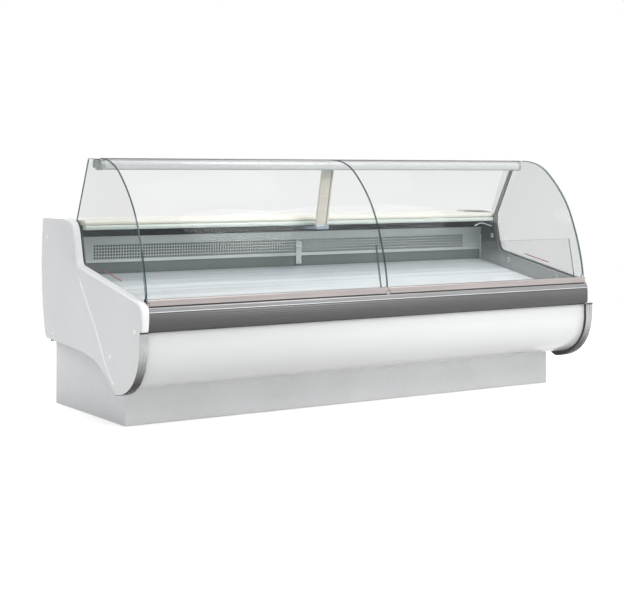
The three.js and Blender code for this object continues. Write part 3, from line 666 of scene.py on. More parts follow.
def fastener_tree(name, head_finish, cross_finish=None):
    """A low round head at each point, turned to face outwards, with an optional cross recess drawn as flat
    dark bars, which are painted shade.
    """
    work, given = start_tree(name, ("Radius", "Float"), ("Height", "Float"), ("Turn", "Vector"))
    crown = work.math("MULTIPLY", given["Radius"], 0.72)
    head = work.add("GeometryNodeMeshCone", {"Vertices": 24, "Radius Top": crown,
                                            "Radius Bottom": given["Radius"], "Depth": given["Height"]})
    shapes = [(head.outputs["Mesh"], 0.0)]
    if cross_finish:
        short_side = work.math("MULTIPLY", given["Radius"], 0.22)
        rise = work.add("ShaderNodeCombineXYZ", {2: work.math("MULTIPLY", given["Height"], 0.51)})
        for sides in ((given["Radius"], short_side), (short_side, given["Radius"])):
            size = work.add("ShaderNodeCombineXYZ", {0: sides[0], 1: sides[1], 2: given["Height"]})
            bar = work.add("GeometryNodeMeshCube", {"Size": size.outputs[0]})
            moved = work.add("GeometryNodeTransform", {"Geometry": bar.outputs["Mesh"],
                                                      "Translation": rise.outputs[0]})
            shapes.append((moved.outputs[0], 1.0))
    joined = work.add("GeometryNodeJoinGeometry")
    for shape, recess in reversed(shapes):
        marked = work.add("GeometryNodeStoreNamedAttribute",
                          {"Geometry": shape, "Name": "recess", "Value": recess},
                          data_type="FLOAT", domain="FACE")
        work.put(joined.inputs[0], marked.outputs[0])
    spread = work.add("GeometryNodeInstanceOnPoints", {"Points": given["Geometry"],
                                                      "Instance": joined.outputs[0],
                                                      "Rotation": given["Turn"]})
    real = work.add("GeometryNodeRealizeInstances", {0: spread.outputs[0]})
    recess = work.add("GeometryNodeInputNamedAttribute", {"Name": "recess"}, data_type="FLOAT").outputs[0]
    done = work.add("GeometryNodeSetMaterial", {"Geometry": real.outputs[0], "Material": head_finish})
    if cross_finish:
        dark = work.math("GREATER_THAN", recess, 0.5)
        done = work.add("GeometryNodeSetMaterial", {"Geometry": done.outputs[0], "Selection": dark,
                                                   "Material": cross_finish})
    work.add("NodeGroupOutput", {0: done.outputs[0]})
    return work.tree


def bar_tree(name, finish):
    """Equal bars in a row that starts at each point."""
    work, given = start_tree(name, ("Count", "Int"), ("Step", "Vector"), ("Bar Size", "Vector"))
    row = work.add("GeometryNodeMeshLine", {"Count": given["Count"], "Offset": given["Step"]})
    bar = work.add("GeometryNodeMeshCube", {"Size": given["Bar Size"]})
    one_row = work.add("GeometryNodeInstanceOnPoints", {"Points": row.outputs[0],
                                                       "Instance": bar.outputs["Mesh"]})
    rows = work.add("GeometryNodeInstanceOnPoints", {"Points": given["Geometry"],
                                                    "Instance": one_row.outputs[0]})
    return end_tree(work, rows.outputs[0], finish)


def perforated_tree(name, finish):
    """A flat sheet with rows of square holes and plain margins, facing the customer."""
    work, given = start_tree(name, ("Left", "Float"), ("Right", "Float"),
                             ("Bottom", "Float"), ("Top", "Float"),
                             ("First Hole X", "Float"), ("First Hole Z", "Float"), ("Pitch", "Float"),
                             ("Hole", "Float"), ("Columns", "Int"), ("Rows", "Int"), ("Thickness", "Float"),
                             ("Face Y", "Float"))
    last = [work.math("MULTIPLY_ADD", given[label], 2, 1) for label in ("Columns", "Rows")]
    grid = work.add("GeometryNodeMeshGrid", {
        "Size X": last[0], "Size Y": last[1],
        "Vertices X": work.math("ADD", last[0], 1), "Vertices Y": work.math("ADD", last[1], 1)})
    here = work.add("ShaderNodeSeparateXYZ", {0: work.add("GeometryNodeInputPosition").outputs[0]})
    step = [work.math("MULTIPLY_ADD", last[i], 0.5, here.outputs[i]) for i in (0, 1)]
    odd = [work.math("MODULO", work.math("FLOOR", s), 2) for s in step]
    hole = work.math("GREATER_THAN", work.math("MULTIPLY", *odd), 0.5)
    open_grid = work.add("GeometryNodeDeleteGeometry", {"Geometry": grid.outputs["Mesh"], "Selection": hole},
                         domain="FACE")
    places = []
    labels = (("First Hole X", "Left", "Right"), ("First Hole Z", "Bottom", "Top"))
    for i, (first, low, high) in enumerate(labels):
        k = work.math("ROUND", step[i])
        row = work.math("FLOOR", work.math("DIVIDE", work.math("SUBTRACT", k, 1), 2))
        even = work.math("SUBTRACT", 1, work.math("MODULO", k, 2))
        inner = work.math("ADD", work.math("MULTIPLY_ADD", row, given["Pitch"], given[first]),
                          work.math("MULTIPLY", even, given["Hole"]))
        at_start = work.math("LESS_THAN", k, 0.5)
        at_end = work.math("GREATER_THAN", k, work.math("SUBTRACT", last[i], 0.5))
        from_low = work.add("GeometryNodeSwitch", {"Switch": at_start, "False": inner, "True": given[low]},
                            input_type="FLOAT").outputs[0]
        places.append(work.add("GeometryNodeSwitch",
                               {"Switch": at_end, "False": from_low, "True": given[high]},
                               input_type="FLOAT").outputs[0])
    spot_on = work.add("ShaderNodeCombineXYZ", {0: places[0], 1: given["Face Y"], 2: places[1]})
    face = work.add("GeometryNodeSetPosition", {"Geometry": open_grid.outputs[0],
                                               "Position": spot_on.outputs[0]})
    back = work.add("ShaderNodeCombineXYZ", {1: given["Thickness"]})
    thick = work.add("GeometryNodeExtrudeMesh", {"Mesh": face.outputs[0], "Offset": back.outputs[0],
                                                "Offset Scale": 1.0, "Individual": False})
    turned = work.add("GeometryNodeFlipFaces", {0: thick.outputs[0]})
    both = work.add("GeometryNodeJoinGeometry")
    work.put(both.inputs[0], face.outputs[0])
    work.put(both.inputs[0], turned.outputs[0])
    closed = work.add("GeometryNodeMergeByDistance", {"Geometry": both.outputs[0], "Distance": 0.0001})
    return end_tree(work, closed.outputs[0], finish)


CAP_TREE = fastener_tree("panel_caps", WHITE_CAPS_AND_HIGHLIGHT)
SCREW_TREE = fastener_tree("cross_screws", SCREW, SCREW_DARK_AND_RECESS_SHADE)
DARK_DOT_TREE = fastener_tree("dark_plugs", SCREW_DARK_AND_RECESS_SHADE)
PLUG_TREE = fastener_tree("liner_plugs", KEY_WHITE)
CENTRE_TREE = fastener_tree("plug_centres", POST_GREY)
QUARTER = math.pi / 2
FACING = {"left": (0, -QUARTER, 0), "right": (0, QUARTER, 0), "front": (QUARTER, 0, 0),
          "rear": (-QUARTER, 0, 0), "down": (2 * QUARTER, 0, 0)}


def fasten(name, tree, places, radius, height, facing, body="cabinet"):
    values = {"Radius": radius * MM, "Height": height * MM, "Turn": FACING[facing]}
    return grow(name, [spot(*p) for p in places], tree, values, body)


# ------------------------------------------------------------------ side panels
PANEL_FRONT_EDGE = [[(-277, 372)], [(-272, 270), (-205, 158), (-40, 148)]]
PANEL_OUTLINE = trace(
    (746, 318), [(772, 322), (782, 380)], [(800, 480), (821, 640), (806, 780)], [(800, 880), (792, 893)],
    [(786, 903), (766, 904)], [(560, 905)], [(450, 904), (434, 868), (420, 812)], [(395, 716)],
    [(389, 693), (366, 686)], [(-196, 577)], [(-262, 566), (-284, 552), (-288, 520)],
    [(-293, 490), (-284, 460), (-278, 438)], *PANEL_FRONT_EDGE, [(8, 158), (60, 222), (170, 262)],
    [(270, 298), (420, 300), (746, 318)], steps=14)[:-1]
CREASE = trace((352, 628), [(250, 510), (165, 420), (98, 322)], [(52, 252), (12, 214), (-22, 190)])
CAP_PLACES = [(729, 806), (651, 352), (-234, 441), (11, 311)]
CAP_RADIUS = 9
EDGE_BACKING = 16
FLANGE_WIDTH = 30

for name, side in SIDES:
    bm = bmesh.new()
    add_rounded_panel(bm, PANEL_OUTLINE, side * PANEL_INNER, side * PANEL_OUTER, 14)
    piece(f"moulded_side_panel_{name}", bm, MOULDED, stands_for=f"side_panel_{name}")
    # flange on the panel's inner side, which shows below the front skin, painted dark as shade
    bm = bmesh.new()
    flange_line = trace((-276, 436), *PANEL_FRONT_EDGE, [(8, 158), (60, 222), (170, 262)], steps=20)
    x0, x1 = sorted((side * (PANEL_INNER - 0.15), side * (PANEL_INNER + 0.5)))
    add_sweep(bm, strip(flange_line, -FLANGE_WIDTH, -1.4), x0, x1)
    piece(f"panel_inner_flange_shade_{name}", bm, JOINT_DARK_AND_SHADE)
    # the crease bead takes a brighter white than the panel: a painted highlight along the crease
    bm = bmesh.new()
    add_bead(bm, CREASE, side * PANEL_OUTER, side, 13, 4.0)
    piece(f"panel_crease_bead_{name}", bm, WHITE_CAPS_AND_HIGHLIGHT)
    fasten(f"panel_screw_caps_{name}", CAP_TREE, [(side * PANEL_OUTER, y, z) for y, z in CAP_PLACES],
           CAP_RADIUS, 5.0, name)
    # white cap that closes the rail's end, standing a little proud of the panel's nose
    bm = bmesh.new()
    cap_line = trace((-262, 522), [(-276, 522)], [(-284, 521), (-286.5, 509)], [(-292.5, 480), (-286.5, 451)],
                     [(-284, 439.5), (-276, 438.5)], [(-262, 438.5)], steps=8)
    x0, x1 = sorted((side * (PANEL_INNER + 0.5), side * (PANEL_OUTER - 5)))
    add_sweep(bm, cap_line, x0, x1, 5.0)
    piece(f"rail_end_cap_{name}", bm, MOULDED)
    # bright strip over the panel's front edge, from under the rail round to the keel
    bm = bmesh.new()
    edge_line = trace((-278, 436), *PANEL_FRONT_EDGE, steps=24)
    x0, x1 = sorted((side * (PANEL_INNER + 1), side * (PANEL_OUTER - 0.6)))
    add_sweep(bm, strip(edge_line, -1.0, 1.2), x0, x1, 0.3)
    piece(f"panel_edge_strip_{name}", bm, EDGE_METAL)
    bm = bmesh.new()
    b0, b1 = sorted((side * (PANEL_OUTER - EDGE_BACKING), side * (PANEL_OUTER - 0.2)))
    add_sweep(bm, strip(edge_line, -EDGE_BACKING, -1.2), b0, b1)
    piece(f"panel_edge_backing_{name}", bm, MOULDED)
    bm = bmesh.new()
    joint_line = trace((-281, 440), [(-278, 434)])
    add_sweep(bm, strip(joint_line, -1.0, 1.6), x0, x1)
    piece(f"panel_edge_joint_{name}", bm, JOINT_DARK_AND_SHADE)

# ------------------------------------------------------------------ front skin and bumper rail
skin_line = trace((-259, 436), [(-261.6, 436.5), (-262, 432)], [(-262, 372)],
                  [(-258, 268), (-196, 184), (-60, 174)], [(-2, 174)], steps=26)
bm = bmesh.new()
add_sweep(bm, strip(skin_line, 0, -3), -BODY_HALF, BODY_HALF, 0.5)
piece("front_skin", bm, GLOSS, stands_for="front_panel")

RAIL_RIBS = 7
rail_face = trace((-274, 519.4), [(-281, 519), (-283, 509)], [(-289, 480), (-283, 451)],
                  [(-281, 441), (-274, 440.6)], steps=RAIL_RIBS * 4)
middle = rail_face[RAIL_RIBS * 4:RAIL_RIBS * 8 + 1]
ribbed = [p + Vector((0.9, 0)) if k % 4 == 2 else p for k, p in enumerate(middle)]
bm = bmesh.new()
add_sweep(bm, [Vector((-250, 440.6)), Vector((-250, 519.4))] + rail_face[:RAIL_RIBS * 4] + ribbed
          + rail_face[RAIL_RIBS * 8 + 1:], -BODY_HALF, BODY_HALF, 0.3)
piece("bumper_rail_ribbed", bm, RAIL, stands_for="bumper_rail")

# ------------------------------------------------------------------ fixed profile and its hinge ears
PROFILE_OUTER = reach("glass_hinge_profile_right")[1].x - 5      # the pins stand 5 mm out of the channel
PROFILE_INNER = reach("glass_hinge_profile_right")[0].x + 5
top_outline = trace(
    (-278.6, 520.4), [(-197, 520.4)], [(-197, 542.4)], [(-273, 542.4)], [(-277, 542), (-278.6, 538)],
    [(-278.6, 536)], [(-277.6, 535.2)], [(-277.6, 534.4)], [(-278.6, 533.6)],
    [(-278.6, 529)], [(-277.6, 528.2)], [(-277.6, 527.4)], [(-278.6, 526.6)], steps=5)
bm = bmesh.new()
add_sweep(bm, top_outline, -BODY_HALF, BODY_HALF, 0.25)
piece("glass_rest_profile", bm, LIGHT_PROFILE, stands_for="front_top_profile")
EAR_HALF = PROFILE_INNER - 1.5
bm = bmesh.new()
for x0, x1 in ((-BODY_HALF, -PROFILE_OUTER - 1.5), (-EAR_HALF, EAR_HALF), (PROFILE_OUTER + 1.5, BODY_HALF)):
    add_sweep(bm, [(-271, 542), (-250, 542), (-250, 547), (-259, 560), (-271, 560)], x0, x1, 0.6)
piece("hinge_ears", bm, ROSE)
bm = bmesh.new()
bead_line = trace((-278, 519.6), [(-281.4, 519.8), (-281.4, 521.6)],
                  [(-281.4, 523.4), (-278, 523.6)], steps=6)
add_sweep(bm, bead_line, -BODY_HALF, BODY_HALF)
piece("rail_white_bead", bm, GLOSS)

# ------------------------------------------------------------------ tilting front glass
GLASS_LINE = through([
    (-262, 556), (-259, 610), (-243, 690), (-213, 790), (-168, 900), (-128, 970), (-77, 1034), (-21, 1090),
    (30, 1131), (82, 1157), (142, 1173), (215, 1179.5)], steps=7)
GLASS_THICK = 6
FOOT_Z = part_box("front_glass_left")[0].z / MM
pane_line = [Vector((-261.8, FOOT_Z))] + [p for p in GLASS_LINE if p.y > FOOT_Z + 10]
CHANNEL = [
    (-272, 548), (-246, 548), (-246, 571), (-252, 573), (-253.5, 573), (-255.2, 553.4), (-262.6, 553.4),
    (-262.6, 576), (-267, 576), (-272, 572)]
CHANNEL_LIP = [(-272, 562.4), (-262.6, 562.4), (-262.6, 576), (-267, 576), (-272, 572)]


def glass_side(face):
    """0 on the broad faces of a pane and 1 on its ground edges."""
    return 0 if face.calc_area() > 4e-4 and abs(face.normal.x) < 0.5 else 1


def end_face(face):
    """1 on the broad faces and on the right pane's slanted rear edge, and 0 on the ground edges."""
    rear_edge = face.normal.y > 0.5 and face.calc_center_median().x > 0
    return 1 if abs(face.normal.x) > 0.5 or rear_edge else 0


for name, side in SIDES:
    body = f"front_glass_{name}_pane"
    low, high = reach(f"front_glass_{name}")
    bm = bmesh.new()
    add_sweep(bm, strip(pane_line, 0, GLASS_THICK), low.x, high.x, 0.7)
    piece(f"curved_front_glass_{name}", bm, (CLEAR, EDGE_GREEN), body, f"front_glass_{name}",
          choose=glass_side)
    x0, x1 = sorted((side * PROFILE_INNER, side * PROFILE_OUTER))
    bm = bmesh.new()
    add_sweep(bm, CHANNEL, x0, x1, 0.8)
    for end, far in ((side * PROFILE_INNER, side * 1.0), (side * PROFILE_OUTER, side * (BODY_HALF - 2))):
        add_sweep(bm, CHANNEL_LIP, *sorted((end, far)), 0.6)
    for pin_x, way in ((x0, -1), (x1, 1)):
        add_turned(bm, [(0, -1), (3, -1), (3, 4.4), (2.4, 5), (0, 5)], (pin_x, -266, 553), "x", 20, way)
    piece(f"hinge_channel_{name}", bm, ROSE, body, f"glass_hinge_profile_{name}")

# ------------------------------------------------------------------ end glasses and inner liners
end_line = [p for p in beside(GLASS_LINE, GLASS_THICK + 2.5) if p.y > 584]
END_OUTLINE = end_line + [Vector(p) for p in (
    (346, 1176), (484, 880), (452, 815), (416, 676), (370, 650), (-186, 542), (-232, 560))]
LINER_OUTLINE = trace(
    (-192, 300), [(-100, 260)], [(90, 260)], [(250, 304)], [(700, 304)], [(700, 896)], [(560, 896)],
    [(462, 896), (444, 862), (431, 808)], [(404, 710)], [(396, 684), (368, 678)], [(-192, 569)], steps=12)
PLUGS = [(455, 764), (319, 636), (-69, 569)]
LIMIT_LINE = [(190, 674), (0, 638)]

for name, side in SIDES:
    bm = bmesh.new()
    x0, x1 = sorted((side * END_GLASS_IN, side * END_GLASS_OUT))
    add_sweep(bm, END_OUTLINE, x0, x1, 1.0)
    piece(f"end_pane_{name}", bm, (EDGE_GREEN, CLEAR), stands_for=f"end_glass_{name}",
          choose=end_face)
    bm = bmesh.new()
    add_sweep(bm, strip([Vector((224, 1173)), Vector((345, 1176))], -2.4, 1.0), x0, x1, 0.5)
    piece(f"end_pane_top_line_{name}", bm, EDGE_PALE)
    bm = bmesh.new()
    x0, x1 = sorted((side * LINER_INNER, side * LINER_OUTER))
    add_sweep(bm, LINER_OUTLINE, x0, x1, 2.2)
    piece(f"side_lining_{name}", bm, LINER, stands_for=f"side_liner_{name}")
    inward = "left" if side > 0 else "right"
    plug_places = [(side * LINER_INNER, y, z) for y, z in PLUGS]
    fasten(f"lining_plugs_{name}", PLUG_TREE, plug_places, 13, 3, inward)
    fasten(f"lining_plug_centres_{name}", CENTRE_TREE, plug_places, 7, 5, inward)
    bm = bmesh.new()
    line = [Vector(p) for p in LIMIT_LINE]
    x0, x1 = sorted((side * (END_GLASS_IN - 0.25), side * (END_GLASS_IN - 0.05)))
    add_sweep(bm, strip(line, -2.4, 2.4), x0, x1)
    piece(f"load_limit_line_{name}", bm, LIMIT_RED)

# ------------------------------------------------------------------ inner deflector glass
DEFLECTOR_LOW = reach("deflector_glass_left")[0]
DEFLECTOR_LEAN = 0.205
DEFLECTOR_THICK = 6.1


def deflector_y(z):
    return DEFLECTOR_LOW.y + DEFLECTOR_LEAN * (z - DEFLECTOR_LOW.z)


LIP_Z = 572
rest_z = DEFLECTOR_LOW.z - 0.4
bm = bmesh.new()
add_sweep(bm, [
    (-236, 543), (-199, 543), (-199, LIP_Z), (deflector_y(LIP_Z) + DEFLECTOR_THICK + 0.4, LIP_Z),
    (deflector_y(rest_z) + DEFLECTOR_THICK + 0.4, rest_z), (deflector_y(rest_z) - 0.4, rest_z),
    (deflector_y(LIP_Z) - 0.4, LIP_Z), (-224, LIP_Z), (-236, 560)], -TUB_HALF, TUB_HALF, 0.6)
piece("deflector_channel", bm, LIGHT_PROFILE, stands_for="deflector_profile")
for name, side in SIDES:
    low, high = reach(f"deflector_glass_{name}")
    bm = bmesh.new()
    add_sweep(bm, [(deflector_y(low.z), low.z), (deflector_y(low.z) + DEFLECTOR_THICK, low.z),
                   (deflector_y(high.z) + DEFLECTOR_THICK, high.z), (deflector_y(high.z), high.z)],
              low.x, high.x, 0.8)
    piece(f"deflector_pane_{name}", bm, (CLEAR_INNER, EDGE_PALE),
          stands_for=f"deflector_glass_{name}",
          choose=lambda face: 0 if abs(face.normal.y) > 0.8 and face.calc_area() > 4e-3 else 1)

# ------------------------------------------------------------------ canopy, lamp and posts
CANOPY_LOW, CANOPY_HIGH = reach("canopy_profile")
FRONT, REAR, BOTTOM, TOP = CANOPY_LOW.y + 0.8, CANOPY_HIGH.y, CANOPY_LOW.z, CANOPY_HIGH.z
CANOPY_OUTLINE = trace(
    (FRONT + 10, BOTTOM), [(REAR - 30, BOTTOM)], [(REAR - 30, BOTTOM + 8)], [(REAR - 8, BOTTOM + 8)],
    [(REAR, BOTTOM + 12), (REAR, BOTTOM + 24)], [(REAR, TOP), (REAR - 20, TOP)], [(FRONT + 26, TOP)],
    [(FRONT + 4, TOP), (FRONT, BOTTOM + 24)], [(FRONT - 1, BOTTOM + 2), (FRONT + 10, BOTTOM)], steps=14)[:-1]


def canopy_side(face):
    """1 on the underside, which takes the painted shade, and 0 elsewhere."""
    return 1 if face.normal.z < -0.6 and abs(face.normal.x) < 0.5 else 0


bm = bmesh.new()
add_sweep(bm, CANOPY_OUTLINE, -CANOPY_HALF, CANOPY_HALF, 0.6)
piece("canopy_tube", bm, (CANOPY_WHITE, CANOPY_UNDER_SHADE), stands_for="canopy_profile",
      choose=canopy_side)
for name, side in SIDES:
    low, high = reach(f"canopy_end_cap_{name}")
    bm = bmesh.new()
    add_sweep(bm, CANOPY_OUTLINE, low.x, high.x, 1.6)
    piece(f"canopy_cap_{name}", bm, CANOPY_CAP, stands_for=f"canopy_end_cap_{name}")
    middle_x = (low.x + high.x) / 2
    cap_screws = [(middle_x, FRONT + 24, BOTTOM), (middle_x, REAR - 42, BOTTOM)]
    fasten(f"canopy_cap_screws_{name}", DARK_DOT_TREE, cap_screws, 4.2, 2.4, "down")

bm = bmesh.new()
seal_outline = [(222, TOP + 0.2), (228, TOP + 0.2), (228, TOP + 5.8), (223, TOP + 5.8)]
add_sweep(bm, seal_outline, -CAP_HALF + 2, CAP_HALF - 2, 0.8)
piece("canopy_top_seal", bm, SEAL_BROWN)

bm = bmesh.new()
lamp_low, lamp_high = reach("lamp_tube")
lamp_y, lamp_z = (lamp_low.y + lamp_high.y) / 2, (lamp_low.z + lamp_high.z) / 2
lamp_r = (lamp_high.y - lamp_low.y) / 2
lamp_length = lamp_high.x - lamp_low.x
lamp_profile = [(0, 0), (lamp_r - 0.6, 0), (lamp_r, 0.8), (lamp_r, lamp_length - 0.8),
                (lamp_r - 0.6, lamp_length), (0, lamp_length)]
add_turned(bm, lamp_profile, (lamp_low.x, lamp_y, lamp_z), "x", 20)
piece("lamp_tube_light", bm, LAMP, stands_for="lamp_tube")


def post_faces(front_y, thick, top_y, foot_z, top_z):
    """1 inside the groove of a post, which lies behind its front face, and 0 elsewhere."""
    def chosen(face):
        middle = face.calc_center_median()
        along = (middle.z / MM - foot_z) / (top_z - foot_z)
        depth = (middle.y - PLINTH_Y) / MM - (front_y + (top_y - front_y) * along)
        return 1 if 1.2 < depth < 4.4 and 0 < along < 1 and face.normal.y < -0.3 else 0
    return chosen


GROOVE_WIDTH = 4.5
GROOVE_DEPTH = 4.0
POST_TOP_Y = 268
POSTS = (
    ("middle", -18, 50, 327, 840, 14, 13, POST_CREAM, "post_cream",
     [(318, 828), (546, 828), (546, 842), (342, 842), (340, 850), (322, 850)], CLAMP),
    ("right", 1204, 1226, 398.6, 880, 10, 8, POST_GREY, "post_grey",
     [(398, 840), (440, 832), (440, 844), (402.5, 846), (402.5, 884), (398, 884)], POST_GREY))
for name, x0, x1, foot_y, foot_z, thick, from_edge, finish, slot, clip, clip_finish in POSTS:
    low, high = reach(f"post_{name}")
    groove = x1 - from_edge
    section = [(x0, 0), (groove, 0), (groove, GROOVE_DEPTH), (groove + GROOVE_WIDTH, GROOVE_DEPTH),
               (groove + GROOVE_WIDTH, 0), (x1, 0), (x1, thick), (x0, thick)]
    ends = ((foot_y, foot_z), (POST_TOP_Y, BOTTOM - 0.3))
    bm = bmesh.new()
    add_rings(bm, [[spot(x, y + d, z) for x, d in section] for y, z in ends], 0.8)
    piece(f"canopy_post_{name}", bm, (finish, DARK_GROOVE), stands_for=f"post_{name}",
          choose=post_faces(foot_y, thick, POST_TOP_Y, foot_z, BOTTOM))
    bm = bmesh.new()
    add_sweep(bm, [Vector(p) for p in clip], low.x, high.x, 1.0)
    piece(f"post_clip_{name}", bm, clip_finish)
fasten("post_arm_screws", SCREW_TREE, [(-6, 318, 839), (38, 318, 839)], 5, 2.4, "front")

# ------------------------------------------------------------------ worktop and its nosing
TOP_LOW, TOP_HIGH = reach("worktop")
bm = bmesh.new()
add_sweep(bm, trace(
    (TOP_LOW.y + 10, TOP_LOW.z), [(TOP_HIGH.y, TOP_LOW.z)], [(TOP_HIGH.y, TOP_HIGH.z - 5)],
    [(TOP_HIGH.y, TOP_HIGH.z), (TOP_HIGH.y - 5, TOP_HIGH.z)], [(TOP_LOW.y + 14, TOP_HIGH.z)],
    [(TOP_LOW.y, TOP_HIGH.z - 3), (TOP_LOW.y, TOP_HIGH.z - 16)], [(TOP_LOW.y + 2, TOP_LOW.z + 0.5),
    (TOP_LOW.y + 10, TOP_LOW.z)], steps=8)[:-1], -TUB_HALF, TUB_HALF, 0.8)
piece("worktop_slab", bm, CREAM, stands_for="worktop")
NOSE_LOW, NOSE_HIGH = reach("worktop_nosing")
nose_outline = trace(
    (NOSE_HIGH.y, NOSE_LOW.z), [(NOSE_HIGH.y, NOSE_HIGH.z)], [(414, NOSE_HIGH.z)],
    [(403, NOSE_HIGH.z - 2), (403, 857)], [(403, NOSE_LOW.z + 0.5), (414, NOSE_LOW.z)], steps=8)
bm = bmesh.new()
add_sweep(bm, nose_outline, -TUB_HALF, TUB_HALF, 0.5)
piece("worktop_nosing_roll", bm, NOSING, stands_for="worktop_nosing")

# white plate that closes the worktop's right end, and the bent stay under it
bm = bmesh.new()
end_plate = trace((452, 838), [(452, 898)], [(410, 898)], [(392, 894), (396, 866)],
                  [(396, 842), (412, 838)], steps=8)
add_sweep(bm, end_plate, TUB_HALF - 5, TUB_HALF - 0.5, 0.8)
piece("worktop_end_plate_right", bm, MOULDED)
bm = bmesh.new()
add_tube(bm, [Vector(p) for p in ((1085, 424, 822), (1130, 424, 836), (1180, 430, 826), (1215, 436, 818))], 3)
piece("worktop_stay", bm, KEY_WHITE)

# ------------------------------------------------------------------ back wall of the display
SLOT_Z = 809                               # lower edge of the air slot under the worktop; the faces above it get painted shade
bm = bmesh.new()
add_sweep(bm, trace(
    (549, 780), [(550, 774), (556, 772)], [(563, 772)], [(563, 776)], [(557, 778), (553, 784)], [(553, 816)],
    [(600, 840)], [(600, 842.5)], [(549, 818)], [(549, SLOT_Z)], steps=5), -TUB_HALF, TUB_HALF)
piece("back_upper_sheet", bm, (BACK_WALL, PAINTED_DUCT_SHADE), stands_for="back_upper_panel",
      choose=lambda face: 1 if face.calc_center_median().z / MM > SLOT_Z else 0)
bm = bmesh.new()
add_sweep(bm, trace(
    (556, 687), [(556, 684), (559, 684)], [(566, 684)], [(566, 600)], [(568, 600)], [(568, 697.2)],
    [(559, 697.2)], [(556, 697.2), (556, 694)], steps=5), -TUB_HALF, TUB_HALF, 0.4)


def lip_face(face):
    return 0 if face.calc_center_median().z / MM > 683 else 1


# the recess faces below the lip get the painted shade
piece("back_lower_sheet", bm, (BACK_LIGHT, RECESS_SHADE), stands_for="back_lower_panel",
      choose=lip_face)

PERFORATED = perforated_tree("perforated_back", PERFORATED_STEEL)
HOLE_PITCH = 14.4
HOLE = 9.4
HOLE_ROWS = 5
HOLE_MARGIN = 108
for name, side in SIDES:
    low, high = reach(f"perforated_panel_{name}")
    margin_low = HOLE_MARGIN if side < 0 else 9
    columns = int((high.x - low.x - HOLE_MARGIN - 9) // HOLE_PITCH)
    values = {
        "Left": low.x * MM, "Right": high.x * MM, "Bottom": low.z * MM, "Top": high.z * MM,
        "First Hole X": (low.x + margin_low) * MM, "First Hole Z": (low.z + 3) * MM,
        "Pitch": HOLE_PITCH * MM, "Hole": HOLE * MM, "Columns": columns, "Rows": HOLE_ROWS,
        "Thickness": (high.y - low.y) * MM, "Face Y": PLINTH_Y + low.y * MM}
    grow(f"perforated_sheet_{name}", [(0, 0, 0)], PERFORATED, values,
         stands_for=(f"perforated_panel_{name}",))
# near-black sheets behind the holes and the slot, as painted shade for the unlit duct
bm = bmesh.new()
add_block(bm, -TUB_HALF + 2, TUB_HALF - 2, 570, 572, 698, 776)
add_block(bm, -TUB_HALF + 2, TUB_HALF - 2, 600.5, 603, 838, 866)
add_block(bm, -TUB_HALF + 2, TUB_HALF - 2, 447, 600, 864, 866)
piece("back_duct_shade_sheet", bm, PAINTED_DUCT_SHADE)

# strip that covers the joint of the two perforated sheets, and the corner angles
bm = bmesh.new()
add_sweep(bm, strip([Vector(p) for p in ((555.5, 642), (555.5, 752), (561.5, 758))], 0, 1.6), 6, 38, 0.4)
piece("back_joint_strip", bm, BACK_LIGHT)
fasten("joint_strip_screws", SCREW_TREE, [(22, 554, 652), (22, 554, 742)], 4, 2.4, "front")
for name, side in SIDES:
    bm = bmesh.new()
    x0, x1 = sorted((side * (TUB_HALF - 11), side * (TUB_HALF - 1)))
    add_block(bm, x0, x1, 545, 547, 632, 770, 0.6)
    x0, x1 = sorted((side * (TUB_HALF - 3), side * (TUB_HALF - 1)))
    add_block(bm, x0, x1, 547, 561, 632, 770, 0.6)
    piece(f"back_corner_angle_{name}", bm, BACK_LIGHT)

# ------------------------------------------------------------------ deck trays and return-air grille
SLOPE = 0.1886
RIB_PITCH = 13.0
RIB_RISE = 0.7
for i in range(1, 5):
    low, high = reach(f"deck_tray_{i}")
    rear_z = high.z

    def deck_z(y):
        return rear_z - SLOPE * (high.y - y)

    top = [Vector((low.y, deck_z(low.y) - 1.2)), Vector((low.y + 1.2, deck_z(low.y + 1.2)))]
    ribs = int((high.y - low.y - 20) // RIB_PITCH)
    for k in range(ribs):
        y = low.y + 14 + k * RIB_PITCH
        top += [Vector((y, deck_z(y) - RIB_RISE)), Vector((y + 1.2, deck_z(y + 1.2) - RIB_RISE * 2)),
                Vector((y + 2.4, deck_z(y + 2.4) - RIB_RISE))]
    top += [Vector((high.y - 1.2, deck_z(high.y - 1.2))), Vector((high.y, deck_z(high.y) - 1.2))]
    under = [Vector((high.y, high.z - 14)), Vector((high.y - 1.6, high.z - 14)),
             Vector((high.y - 1.6, deck_z(high.y) - 4)), Vector((low.y + 1.6, deck_z(low.y) - 4)),
             Vector((low.y + 1.6, low.z)), Vector((low.y, low.z))]
    middle_x = (low.x + high.x) / 2
    bm = bmesh.new()
    for x0, x1 in ((low.x, middle_x - 0.8), (middle_x + 0.8, high.x)):
        add_sweep(bm, top + under, x0, x1)
    piece(f"deck_tray_pair_{i}", bm, DECK, stands_for=f"deck_tray_{i}")

grille_low, grille_high = reach("return_air_grille")
GRILLE_BARS = bar_tree("grille_bars", GRILLE)
bar_pitch = 9.0
bar_count = int((2 * TUB_HALF - 12) // bar_pitch)
grille_depth = grille_high.y - grille_low.y
first_bar = spot(-TUB_HALF + 7, (grille_low.y + grille_high.y) / 2, (grille_low.z + grille_high.z) / 2)
grow("return_air_bars", [first_bar],
     GRILLE_BARS, {"Count": bar_count, "Step": (bar_pitch * MM, 0, 0),
                   "Bar Size": (3.4 * MM, (grille_depth - 8) * MM, 2.4 * MM)},
     stands_for=("return_air_grille",))
bm = bmesh.new()
for y0, y1 in ((grille_low.y, grille_low.y + 6), (grille_high.y - 6, grille_high.y)):
    add_block(bm, -TUB_HALF, TUB_HALF, y0, y1, grille_low.z, grille_high.z, 0.5)
piece("return_air_frame", bm, GRILLE)

